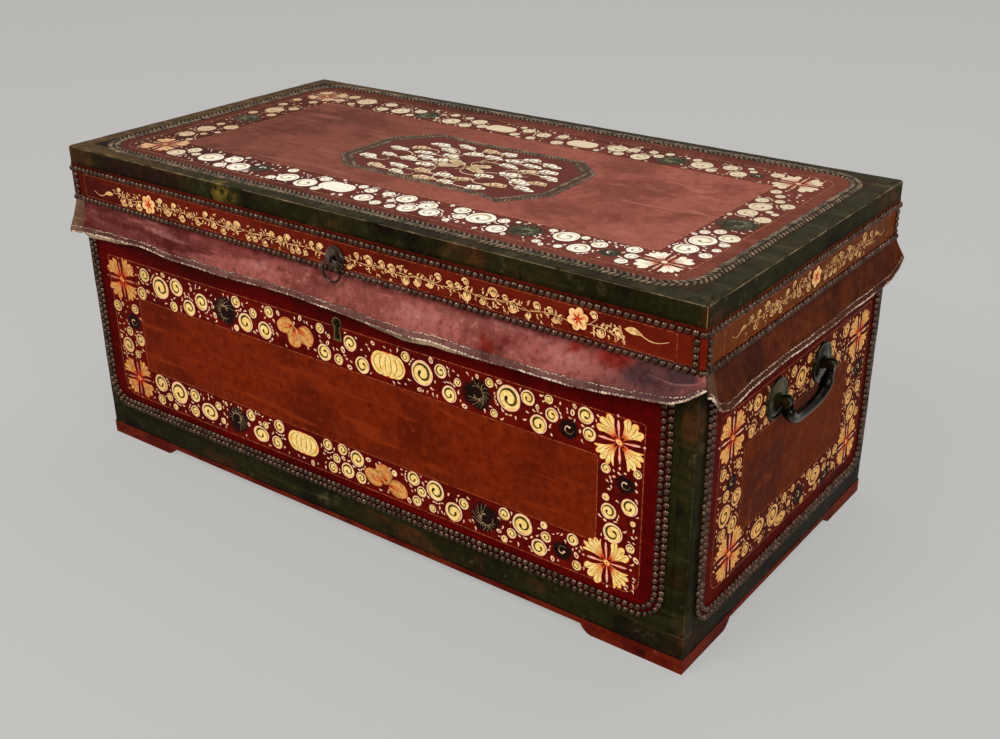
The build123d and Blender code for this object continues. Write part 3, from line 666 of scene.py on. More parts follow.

# %% [markdown]
# ## Wood and metal
# The boards are pale camphor wood with long grain, and the base rails are the same
# wood under worn red paint. The nails and handles are old brass and iron, with a
# patina of a dark and a brighter tone in uneven patches.


# %% Wood and metal
def wood_material(name, pale, dark, stretch, paint=None):
    """Long grain: rings of a stretched noise, with pores, under worn paint if given."""
    look = Finish(name, dark, 0.03)
    along = look.moved(Scale=stretch)
    rings = look.noise(1.0, 7.0, along, Distortion=0.6)
    pores = look.noise(6.0, 4.0, along)
    look.wash(rings.step(0.4, 0.6), pale)
    look.wash(pores.step(0.56, 0.64), dark)
    if paint:
        wood, look.colour = look.colour, paint[0]
        chips = look.noise(60.0, 8.0, Roughness=0.7)
        look.wash(look.noise(18.0, 6.0, Roughness=0.65).step(0.4, 0.58), paint[1])
        look.wash(chips.step(0.56, 0.64) * 0.7, paint[2])
        look.colour = blend_colours(look.tree, chips.step(0.34, 0.38), wood, look.colour)
    return look.done(pores, 0.4, 0.0004, Roughness=0.5)


def metal_material(name, dark, bright, roughness, metallic=0.85, speckle=150.0):
    """Aged metal: a patina of two tones, glossier on the bright one, and a fine relief."""
    look = Finish(name, dark)
    patina = look.noise(speckle, 6.0, Roughness=0.6)
    mixed = (patina + look.noise(speckle / 6, 3.0)) * 0.5
    look.wash(mixed.step(0.4, 0.62), bright)
    rough = mixed.mapped(0.35, 0.65, roughness + 0.15, roughness - 0.05)
    return look.done(patina, 0.3, 0.0003, Metallic=metallic, Roughness=rough)


ALONG_X, ALONG_Y = (2.2, 70.0, 110.0), (70.0, 2.2, 110.0)
camphor = wood_material("camphor wood", tint(176, 134, 92), tint(146, 102, 64), ALONG_X)
camphor_across = wood_material("camphor wood across", tint(174, 132, 92), tint(144, 100, 64), ALONG_Y)
base_paint = wood_material("painted base", tint(110, 60, 34), tint(60, 30, 16), (3.0, 40.0, 60.0),
                           paint=(tint(76, 12, 4), tint(98, 28, 9), tint(30, 9, 5)))
nail_metal = metal_material("nail heads", tint(66, 46, 36), tint(114, 88, 72), 0.28, 1.0, 420.0)
lid_nail_metal = metal_material("lid nail heads", tint(54, 40, 27), tint(130, 106, 80), 0.5, 0.1, 420.0)
rose_bronze = metal_material("rose bronze", tint(34, 32, 18), tint(92, 84, 54), 0.32, 1.0)
bail_iron = metal_material("black iron", tint(17, 14, 10), tint(44, 38, 30), 0.16, 1.0)
ring_iron = metal_material("ring iron", tint(40, 33, 28), tint(108, 92, 80), 0.22, 1.0)
hinge_iron = metal_material("hinge iron", tint(60, 56, 52), tint(104, 98, 90), 0.4)
lock_brass = metal_material("lock brass", tint(64, 54, 22), tint(128, 112, 56), 0.36, 0.7)
SLOT_MATERIALS = {
    "camphor_wood": camphor, "painted_wood": base_paint, "brass": lock_brass, "iron": hinge_iron,
    "dark_bronze": rose_bronze, "black_iron": bail_iron, "green_leather": green_leather,
    "red_leather": band_leather,
}
print("materials so far:", len(bpy.data.materials))

# %% [markdown]
# ## Dressing the construction nodes
# Nodes whose shape is right are kept, and only get their finish. Each node's slot in
# the record says which finish it takes, and the leather panels get the shader drawn
# for their own face. The facets of round metal are joined and shaded smooth by two
# modifiers: one welds the loose triangles and one splits only the sharp edges.

# %% Dress the nodes
slot_of = {entry["node"]: entry["material_slot"] for entry in frame["record"]["subparts"]}
own_finish = {
    "front_leather": front_leather, "back_leather": back_leather, "right_leather": right_leather,
    "left_leather": left_leather, "lid_leather": top_leather, "lid_band_right": side_band_leather,
    "lid_band_left": side_band_leather,
}
own_finish |= dict.fromkeys(("lid_band_front", "lid_band_back"), band_leather)
own_finish |= dict.fromkeys(("left_board", "right_board", "lid_rail_left", "lid_rail_right"), camphor_across)
own_finish |= dict.fromkeys(("pull_ring", "pull_plate", "pull_staple"), ring_iron)
METALS = (rose_bronze, bail_iron, hinge_iron, lock_brass, ring_iron)
rounded = 0
for node, thing in frame["nodes"].items():
    finish = own_finish.get(node) or SLOT_MATERIALS.get(slot_of.get(node), camphor)
    thing.data.materials.clear()
    thing.data.materials.append(finish)
    if finish in METALS:
        thing.data.polygons.foreach_set("use_smooth", np.full(len(thing.data.polygons), True))
        thing.modifiers.new("weld", "WELD").merge_threshold = 1e-6
        thing.modifiers.new("sharp edges", "EDGE_SPLIT").split_angle = radians(36)
        rounded += 1
print("dressed", len(frame["nodes"]), "nodes,", rounded, "shaded smooth, slots found for", len(slot_of))

# %% [markdown]
# ## Green edges
# The green leather is folded over the edges of the lid, the upright corners and the
# foot of the case. A folded strip has a soft arris, so a plain box edge would look
# like sheet metal. Each strip is a closed section carried round a rounded rectangle,
# with a small wave, because leather never lies quite flat.


# %% Folded strips
def folded_section(out, low, top, inward, thick, arris):
    """Section of a strip folded over a top edge, as (outward, height) points.

    The outer wall runs up from low, turns through a quarter circle of radius arris,
    and runs inward; the inner wall returns one thickness below it.
    """
    turn_points = np.linspace(0, pi / 2, 6)
    bend = np.stack([out - arris + arris * np.cos(turn_points), top - arris + arris * np.sin(turn_points)], 1)
    wall = np.stack([np.full(4, out), np.linspace(low, top - arris, 4)], 1)[:-1]
    flat = np.stack([np.linspace(out - arris, out - inward, 5)[1:], np.full(4, top)], 1)
    edge = [(out - inward - 0.5, top - 0.6), (out - inward, top - thick)]
    back = [(out - thick, top - thick), (out - thick, low)]
    return np.vstack([wall, bend, flat, edge, back])


def carry_round(half_u, half_v, radius, section, wave=0.35, step=12.0, seed=3):
    """Carries a section round a rounded rectangle about the origin.

    point = corner path at the section's outward distance, at its height, plus a
    slow wave outward that is zero on the inner wall.
    """
    corner = np.linspace(0, pi / 2, 7)
    spine, normal = [], []
    for cx, cy, a in ((half_u - radius, -half_v + radius, -pi / 2), (half_u - radius, half_v - radius, 0),
                      (-half_u + radius, half_v - radius, pi / 2), (-half_u + radius, -half_v + radius, pi)):
        direction = np.stack([np.cos(a + corner), np.sin(a + corner)], 1)
        spine.append(np.array([cx, cy]) + radius * direction)
        normal.append(direction)
    rows, ways = [], []
    for k in range(4):
        rows.append(spine[k])
        ways.append(normal[k])
        start, end = spine[k][-1], spine[(k + 1) % 4][0]
        count = max(2, int(np.hypot(*(end - start)) / step))
        share = (np.arange(1, count) / count)[:, None]
        rows.append(start + (end - start) * share)
        ways.append(np.repeat(normal[k][-1:], count - 1, 0))
    spine, normal = np.vstack(rows), np.vstack(ways)
    run = run_along(spine)
    rng = np.random.default_rng(seed)
    sway = sum(np.sin(run / w * 2 * pi + p) for w, p in zip((61, 37, 173), rng.uniform(0, 6, 3))) / 3
    outward = section[:, 0].max()
    share = np.clip(1 - (outward - section[:, 0]) / 3, 0, 1)
    reach = (section[:, 0] - outward)[None, :] + wave * sway[:, None] * share[None, :] - wave * share[None, :]
    up = section[:, 1][None, :] + 0.5 * wave * (sway[:, None] - 1) * (section[:, 1] > section[:, 1].max() - 1)
    flat = spine[:, None, :] + normal[:, None, :] * reach[..., None]
    points = np.concatenate([flat, up[..., None]], -1) * MM
    rows_count, columns = points.shape[:2]
    points = np.concatenate([points, points[:1]])
    faces = grid_faces(rows_count + 1, columns, wrap=True)
    faces = (np.array(faces) % (rows_count * columns)).tolist()
    return points[:-1], faces


edging_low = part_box("lid_band_front")[1].z / MM + 0.05
lid_top_mm = lid_top / MM
section = folded_section(lid_x / MM, edging_low, lid_top_mm + 0.2, 25, 1.4, 3.0)
points, faces = carry_round(lid_x / MM, lid_y / MM, 5, section)
edging = new_piece("lid_edging", points, faces, green_edging, "lid", closed=True)
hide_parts(*[f"lid_edging_{side}" for side in SIDES])

low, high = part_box("bottom_binding")
foot_wall = np.stack([np.zeros(6), np.linspace(0, 25, 6)], 1)
foot_section = np.vstack([foot_wall, [(-0.4, 26.6), (-1.4, 27), (-1.5, 0)]]) + (0.1, low.z / MM)
points, faces = carry_round(case_x / MM, case_y / MM, 3, foot_section, seed=8)
binding = new_piece("foot_binding", points, faces, green_leather, "case", closed=True)
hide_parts("bottom_binding")


def corner_strip(name, sign_x, sign_y, node):
    """A strip folded round an upright corner: an L with a rounded heel, drawn upward.

    The heel is a quarter circle of 3 mm; a small wave in height moves the two free
    edges and the heel a little in and out.
    """
    foot, head = [corner.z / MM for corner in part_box(node)]
    half_x, half_y = case_x / MM, case_y / MM
    a = np.linspace(0, pi / 2, 6)
    heel = np.stack([-3 + 3.1 * np.sin(a), -3 + 3.1 * np.cos(a)], 1)
    outer = np.vstack([[(-18, 0), (-12, 0.1), (-7, 0.1)], heel, [(0.1, -7), (0.1, -12), (0, -18)]])
    inner = np.array([(-1.5, -18), (-1.5, -1.5), (-18, -1.5)])
    loop = np.vstack([outer, inner])
    levels = 24
    heights = np.linspace(foot, head, levels)
    sway = 0.25 * np.sin(heights / 23.0 + sign_x + 2 * sign_y) + 0.15 * np.sin(heights / 9.0)
    grow = np.r_[np.ones(len(outer)), np.zeros(3)]
    xy = loop[None] + (sway[:, None] * grow[None])[..., None] * 0.5 - 0.15
    points = np.concatenate([xy, np.repeat(heights[:, None, None], len(loop), 1)], -1)
    points[..., 0] = sign_x * (half_x + points[..., 0])
    points[..., 1] = sign_y * (half_y + points[..., 1])
    faces = grid_faces(levels, len(loop), wrap=True)
    faces += [tuple(range(len(loop)))[::-1], tuple(range((levels - 1) * len(loop), levels * len(loop)))]
    if sign_x * sign_y > 0:
        faces = [tuple(face)[::-1] for face in faces]
    piece = new_piece(name, points * MM, faces, green_leather, "case", closed=True)
    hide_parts(node)


for x_name, sx in (("left", -1), ("right", 1)):
    for y_name, sy in (("front", -1), ("back", 1)):
        corner_strip(f"corner_fold_{y_name}_{x_name}", sx, sy, f"corner_binding_{y_name}_{x_name}")
print("edging", len(edging.data.polygons), "faces, binding", len(binding.data.polygons))

# %% [markdown]
# ## Nails
# Some 2,500 domed nails, and 1,000 small slanted ones on the lid, hold the leather,
# almost touching. A subdivided sphere each would be far too heavy, so one small dome
# of eight sides is repeated by array arithmetic, and each copy gets its own slight
# tilt and size, as hammered nails have.


# %% Nails
def dome_template(sides=8):
    """A low dome: radius and height follow a quarter wave, and the foot is closed."""
    a = np.arange(sides) / sides * 2 * pi
    ring_radius = np.array([1.0, 0.86, 0.5])
    ring_height = np.array([-0.15, 0.42, 0.88])
    rings = [np.stack([r * np.cos(a), r * np.sin(a), np.full(sides, h)], 1)
             for r, h in zip(ring_radius, ring_height)]
    points = np.vstack(rings + [[(0, 0, 1.0)]])
    faces = grid_faces(3, sides, wrap=True)
    faces += [(2 * sides + i, 2 * sides + (i + 1) % sides, 3 * sides) for i in range(sides)]
    faces.append(tuple(range(sides))[::-1])
    return points, faces


def slanted(line, lean):
    """Points of a closed line, each with the angle of the line there plus a lean."""
    way = np.roll(line, -1, 0) - np.roll(line, 1, 0)
    return np.column_stack([line, np.arctan2(way[:, 1], way[:, 0]) + lean])


def nails(name, spots, size, rise, seed, metal=nail_metal, longer=1.0):
    """Domes on a face: spots is {face: flat points in millimetres}.

    A third column is an angle: the dome is then stretched along it by longer.
    """
    dome, dome_faces = dome_template()
    rng = np.random.default_rng(seed)
    blocks = []
    for face, flat in spots.items():
        f, flat = FACES[face], np.asarray(flat, float)
        count = len(flat)
        turn = flat[:, 2:3] if flat.shape[1] > 2 else np.zeros((count, 1))
        flat = flat[:, :2] + rng.normal(0, 0.16, (count, 2))
        tilt_uv = rng.normal(0, 0.06, (count, 2))
        scale = rng.uniform(0.94, 1.05, (count, 1, 1))
        local = dome[None] * scale * np.array([size * longer, size, rise])
        local[..., 2] += local[..., 0] * tilt_uv[:, :1] + local[..., 1] * tilt_uv[:, 1:]
        x = local[..., 0] * np.cos(turn) - local[..., 1] * np.sin(turn)
        y = local[..., 0] * np.sin(turn) + local[..., 1] * np.cos(turn)
        u, v, n = (np.array(f[k], float) for k in "uvn")
        base = on_face(face, flat, 0.0)[:, None, :]
        blocks.append(base + MM * (x[..., None] * u + y[..., None] * v + local[..., 2:] * n))
    points = np.concatenate(blocks).reshape(-1, 3)
    shift = np.arange(len(points) // len(dome)) * len(dome)
    faces = [tuple(i + s for i in face) for s in shift.tolist() for face in dome_faces]
    new_piece(name, points, faces, metal, f["body"], closed=True)
    return len(shift)


NAIL, RISE = 4.3, 3.6
LID_PITCH, LID_NAIL, LID_RISE = 7.2, 1.8, 1.5
total = 0
for side in ("front", "right", "back", "left"):
    rows = np.vstack([rounded_outline(FRAMES[side][key], PITCH) for key in ("nails", "nails2")])
    total += nails(f"nails_{side}", {side: rows}, NAIL, RISE, len(side))
rows = np.vstack([slanted(rounded_outline(FRAMES["top"][key], LID_PITCH), lean)
                  for key, lean in (("nails", 0.85), ("nails2", -0.85))])
total += nails("nails_lid_top", {"top": rows}, LID_NAIL, LID_RISE, 21, lid_nail_metal, longer=2.9)
band_rows = {}
BAND_LOW, BAND_HIGH = 356.8, 396.6
for side in SIDES:
    long_side = side in ("front", "back")
    half = (lid_x if long_side else lid_y) / MM - 3.5
    along_band = np.linspace(-half, half, int(2 * half / PITCH))
    column = np.linspace(BAND_LOW, 396, 6)[1:-1]
    parts = [np.stack([along_band, np.full_like(along_band, z)], 1) for z in (BAND_LOW, BAND_HIGH)]
    at_ends = half - (7 if long_side else 5)
    parts += [np.stack([np.full_like(column, way * at_ends), column], 1) for way in (-1, 1)]
    band_rows[side + "_band"] = np.vstack(parts)
total += nails("nails_bands", band_rows, NAIL, RISE, 33)
print("nails:", total)

# %% [markdown]
# ## Drawing with paint
# The scrolls, flowers and discs are laid on with a loaded brush and stand a little
# proud. They could be a painted texture, but a texture blurs, so every stroke is a
# thin piece of geometry: a patch is one outline, and a stroke is a strip of quads
# along a line with its own width at each point. Under the pale shapes lies a wider,
# darker one, because the painter set them on a dark glaze.


# %% Brushes
class Brush:
    """Collects the patches and strokes of one colour on one face."""

    def __init__(self):
        self.blocks, self.faces, self.count = [], [], 0

    def patch(self, outline, lift):
        """One closed outline, counter-clockwise, at a height in millimetres."""
        n = len(outline)
        self.blocks.append(np.column_stack([outline, np.full(n, lift)]))
        self.faces.append(tuple(range(self.count, self.count + n)))
        self.count += n

    def stroke(self, line, width, lift):
        """A strip along a line: points shifted half the width to either side."""
        line = np.asarray(line, float)
        width = np.broadcast_to(width, len(line))
        way = np.gradient(line, axis=0)
        way /= np.maximum(np.hypot(way[:, 0], way[:, 1]), 1e-9)[:, None]
        off = np.stack([-way[:, 1], way[:, 0]], 1) * width[:, None] / 2
        n = len(line)
        both = np.vstack([line - off, line + off])
        self.blocks.append(np.column_stack([both, np.full(2 * n, lift)]))
        k = np.arange(n - 1) + self.count
        self.faces += np.stack([k, k + 1, k + 1 + n, k + n], 1).tolist()
        self.count += 2 * n


COLOURS = ("cream", "amber", "olive", "eye", "red", "dark", "smudge", "moss", "gold", "shade", "rim", "rose",
           "ground", "tan")
SCREEN = np.random.default_rng(17)
# How high the layers of paint lie over the leather, in millimetres.
GLAZE, LINE, OUTLINE, BODY, SCROLL, VEIN = 0.05, 0.07, 0.12, 0.14, 0.24, 0.28
PAINT_THICKNESS = 0.0003


def clean_brushes():
    """A set of brushes, one for each colour. One that is never used makes no piece."""
    return {key: Brush() for key in COLOURS}


def ellipse(cx, cy, rx, ry, turned=0.0, n=20, rough=0.0):
    """Points of an ellipse, with an optional uneven edge."""
    a = np.arange(n) / n * 2 * pi
    r = 1 + rough * np.sin(3 * a + cx) * 0.6 + rough * np.sin(5 * a + cy) * 0.4
    x, y = rx * np.cos(a) * r, ry * np.sin(a) * r
    c, s = cos(turned), sin(turned)
    return np.stack([cx + c * x - s * y, cy + s * x + c * y], 1)


def polar(cx, cy, radius, angle, wide=1.0):
    """Points at radii and angles about a centre."""
    radius, angle = np.broadcast_arrays(np.asarray(radius, float), np.asarray(angle, float))
    return np.stack([cx + wide * radius * np.cos(angle), cy + radius * np.sin(angle)], -1)


def arc(cx, cy, r0, r1, a0, a1, n=14, wide=1.0):
    """A spiral arc: radius goes from r0 to r1 while the angle goes from a0 to a1."""
    return polar(cx, cy, np.linspace(r0, r1, n), np.linspace(a0, a1, n), wide)


def swell(n, widest, tip=0.15):
    """Brush pressure: thin at both ends and widest in the middle."""
    t = np.linspace(0, 1, n)
    return widest * (tip + (1 - tip) * np.sin(pi * t))


def disc(pens, x, y, r, rx=None, pen="cream"):
    """A disc like a snail: a rosy rim, a cream body, and one olive band that starts
    thin near the rim, thickens over the far side and curls into a dark middle."""
    wide = (rx or r) / r
    start, way = SCREEN.uniform(1.2, 2.8), SCREEN.choice([-1, 1])
    lift = 0.14 + 0.02 * SCREEN.random()
    pens["shade"].patch(ellipse(x, y, wide * r + 1.3, r + 1.3, 0, 18), GLAZE)
    pens["rim"].patch(ellipse(x, y, wide * r, r, 0, 24, 0.03), lift)
    if r < 5:
        pens[pen].patch(ellipse(x, y, 0.66 * wide * r, 0.6 * r, start, 14, 0.05), lift + 0.03)
        pens["olive"].stroke(arc(x, y, 0.3 * r, 0.3 * r, start, start + 2.6, 6, wide), 0.26 * r, SCROLL)
        return
    pens[pen].patch(ellipse(x, y, 0.84 * wide * r, 0.84 * r, 0, 24, 0.04), lift + 0.03)
    t = np.linspace(0, 1, 34)
    turn = start - way * 2.6 + way * SCREEN.uniform(7.2, 8.6) * t
    radius = r * np.interp(t, (0, 0.3, 0.62, 0.84, 1), (0.86, 0.7, 0.58, 0.34, 0.12))
    width = r * np.interp(t, (0, 0.2, 0.40, 0.62, 0.76, 0.93, 1), (0.05, 0.09, 0.27, 0.22, 0.10, 0.30, 0.22))
    line = polar(x, y, radius, turn, wide)
    pens["olive"].stroke(line[:23], width[:23], SCROLL)
    pens["eye"].stroke(line[22:], width[22:], 0.25)
    outward = np.stack([np.cos(turn[8:18]), np.sin(turn[8:18])], 1)
    pens["eye"].stroke(line[8:18] + 0.035 * r * outward, width[8:18] * 0.35, 0.25)


def drop(pens, x, y, length, angle, pen="cream"):
    """A comma: a round head with a bent tail."""
    t = np.linspace(0, 1, 7)
    bend = 0.5 * t ** 2 * SCREEN.choice([-1, 1])
    line = np.stack([x + length * t * np.cos(angle + bend), y + length * t * np.sin(angle + bend)], 1)
    pens[pen].stroke(line, length * np.array([0.10, 0.34, 0.40, 0.32, 0.2, 0.12, 0.04]), BODY)


def ring_dot(pens, x, y, r, angle=0.0):
    """A small oval ring with a dark comma in it, as a turned brush tip leaves."""
    pens["rim"].patch(ellipse(x, y, 1.15 * r, 0.8 * r, angle, 12), BODY)
    cx, cy = x + 0.15 * r * cos(angle), y + 0.15 * r * sin(angle)
    pens["eye"].patch(ellipse(cx, cy, 0.6 * r, 0.26 * r, angle + 0.3, 8), 0.2)


def petal_rim(x, y, r, axis, lobes, skew, grow=0.0):
    """A fan petal with three or four round lobes at the rim and a narrow foot.

    radius = r * (0.80 + 0.20 |cos(lobes pi s / 2 + 6 skew)|^0.6 + skew s - 0.08 s^2)
    for s from -1 to 1. grow, in millimetres, widens the petal on every side.
    """
    s = np.linspace(-1, 1, 33)
    rim = 0.80 + 0.20 * np.abs(np.cos(lobes * pi * s / 2 + 6 * skew)) ** 0.6 + skew * s - 0.08 * s * s
    radius = np.r_[r * rim + grow, r * np.array([0.60, 0.34, 0.1, 0.1, 0.34, 0.60])]
    angle = np.r_[0.53 * s, 0.42, 0.32, 0.3, -0.3, -0.32, -0.42]
    return polar(x, y, radius, axis + angle * (1 + 1.5 * grow / r))


STAMEN = [0.8, 1.0, 1.2, 1.6, 2.2, 2.6, 2.2, 0.8]


def corner_flower(pens, x, y, r, turned=0.0, pen="cream"):
    """Four lobed petals in a cross, each outlined in red and veined, and a pale
    stamen with a dot between each two."""
    for k in range(4):
        axis = pi / 4 + k * pi / 2 + turned + SCREEN.uniform(-0.06, 0.06)
        size, lobes, skew = r * SCREEN.uniform(0.94, 1.05), SCREEN.choice([3, 4]), SCREEN.uniform(-0.06, 0.06)
        pens["shade"].patch(petal_rim(x, y, size, axis, lobes, skew, 1.4), GLAZE)
        pens["red"].patch(petal_rim(x, y, size, axis, lobes, skew, 0.6), OUTLINE)
        pens[pen].patch(petal_rim(x, y, size, axis, lobes, skew, -0.2), 0.16 + 0.01 * k)
        for vein in (-0.46, -0.24, 0.0, 0.22, 0.44):
            t = np.linspace(0.08, 0.62 + 0.14 * SCREEN.random() - 0.3 * abs(vein), 7)
            pens["red"].stroke(polar(x, y, size * t, axis + vein * t ** 0.5), np.linspace(1.5, 0.3, 7), VEIN)
        for cut in (-0.34, -0.12, 0.12, 0.34):
            t = np.linspace(0.45 + 0.1 * SCREEN.random(), 0.9, 7)
            line = polar(x, y, size * t, axis + cut * (0.6 + 0.4 * t) + 0.05 * np.sin(9 * t))
            pens["olive"].stroke(line, np.linspace(0.25, 0.75, 7), 0.25)
        between = axis + pi / 4
        t = np.linspace(0.12, 0.78, 8)
        pens["rose"].stroke(polar(x, y, r * t, between), np.array(STAMEN), 0.15)
        for fan in (-0.09, 0.09):
            pens["red"].stroke(polar(x, y, r * t[:6], between + fan), 0.5, 0.16)
        pens["rose"].patch(ellipse(*polar(x, y, 0.93 * r, between).tolist(), 1.7, 1.2, between, 9), 0.17)
    pens["red"].patch(ellipse(x, y, 0.17 * r, 0.12 * r, -0.5, 14), 0.3)
    pens[pen].patch(ellipse(x, y, 0.12 * r, 0.08 * r, -0.5, 12), 0.31)
    pens["red"].patch(ellipse(x, y, 0.04 * r, 0.04 * r, 0, 7), 0.32)


def spray(pens, x, y, petals, pen="amber"):
    """Three petals from one foot, each outlined and veined in red."""
    for px, py, w, h in petals:
        lean = np.arctan2(py - y, px - x)
        long_half, wide_half = 1.1 * max(w, h) / 2, 1.22 * min(w, h) / 2
        pens["shade"].patch(ellipse(px, py, long_half + 1.5, wide_half + 1.5, lean, 20, 0.05), GLAZE)
        pens["red"].patch(ellipse(px, py, long_half + 0.6, wide_half + 0.6, lean, 20, 0.05), OUTLINE)
        pens[pen].patch(ellipse(px, py, long_half, wide_half, lean, 20, 0.05), 0.15 + 0.02 * SCREEN.random())
        ring = ellipse(px, py, 0.93 * long_half, 0.9 * wide_half, lean, 22)
        pens["olive"].stroke(ring[3:-3], 0.4, 0.27)
        for side in (-0.36, -0.18, 0.0, 0.18, 0.36):
            t = np.linspace(0, 1, 6)
            middle, foot = np.array([px, py]), np.array([x, y])
            fan = np.array([cos(lean + 2 * side), sin(lean + 2 * side)])
            tip = middle + (0.6 - abs(side)) * long_half * fan
            base = foot + 0.25 * (middle - foot)
            bow = np.array([-sin(lean), cos(lean)]) * (side * 6 * np.sin(pi * t))[:, None]
            line = base + (tip - base) * t[:, None] + bow
            pens["red"].stroke(line, np.linspace(1.2, 0.2, 6), VEIN)


def ovals(pens, x, y, width, height):
    """Overlapping ovals, like a gourd, with bowed olive ribs and a red outline."""
    pens["red"].patch(ellipse(x, y, width / 2 + 0.8, height / 2 + 0.6, 0, 28), 0.10)
    for k, dx in enumerate((-0.24, 0.24, -0.1, 0.1)):
        cx = x + dx * width
        half = height / 2 * (1 - 0.2 * abs(dx))
        pens["cream"].patch(ellipse(cx, y, 0.25 * width, half, 0, 22), 0.14 + 0.015 * k)
    for bow in (-0.38, -0.22, -0.07, 0.09, 0.24, 0.4):
        t = np.linspace(-1.25, 1.25, 12)
        rib = np.stack([x + bow * width * np.cos(t) * 1.1, y + height * 0.46 * np.sin(t)], 1)
        pens["olive"].stroke(rib, swell(12, 0.95), 0.26)


def blot(pens, x, y, r):
    """A soft dark blot with one grey-green curl and fine feather hairs over it."""
    pens["shade"].patch(ellipse(x, y, 1.24 * r, 1.08 * r, 0.3, 26, 0.08), GLAZE)
    pens["smudge"].patch(ellipse(x, y, 1.12 * r, 0.98 * r, 0.3, 26, 0.12), 0.08)
    for turn in SCREEN.uniform(0, 2 * pi, 26).tolist():
        line = polar(x, y, r * np.linspace(0.7, SCREEN.uniform(0.95, 1.2), 4), turn + np.linspace(0, 0.25, 4))
        pens["dark"].stroke(line, np.linspace(2.2, 0.4, 4), 0.09)
    pens["dark"].patch(ellipse(x + 0.06 * r, y, 0.9 * r, 0.82 * r, 0.3, 24, 0.12), 0.1)
    start, way = SCREEN.uniform(0, 2 * pi), SCREEN.choice([-1, 1])
    curl = arc(x, y, 0.6 * r, 0.22 * r, start, start + way * 5.2, 22)
    pens["moss"].stroke(curl, r * np.interp(np.arange(22), (0, 8, 17, 21), (0.02, 0.04, 0.1, 0.05)), 0.2)
    if r > 15:
        for j in range(13):
            foot = curl[5 + j // 2]
            t = np.linspace(0, 1, 6)[:, None]
            a = start + way * (0.5 + 0.38 * j)
            tip = np.array([x, y]) + r * SCREEN.uniform(0.75, 1.05) * np.array([cos(a), sin(a)])
            hair = foot + (tip - foot) * t + 0.08 * r * np.sin(pi * t) * np.array([-sin(a), cos(a)])
            pens["moss"].stroke(hair, np.linspace(0.7, 0.25, 6), 0.2)
    else:
        pens["rim"].stroke(curl[9:], r * np.interp(np.arange(13), (0, 8, 12), (0.04, 0.13, 0.06)), 0.22)
        pens["rim"].patch(ellipse(*curl[-1], 0.14 * r, 0.1 * r, 0, 8), 0.23)


print("brushes ready:", len(COLOURS), "colours")

# %% [markdown]
# ## The painted borders
# Each border runs between its two gold lines: a big flower in every corner, discs
# with spirals, a few dark blots, sprays and gourd shapes, and small drops and rings
# that fill the gaps. The large shapes have fixed places, in millimetres on the face.
# The small ones are dropped at random places that are still free, from a seeded
# generator, so every run paints the same chest.

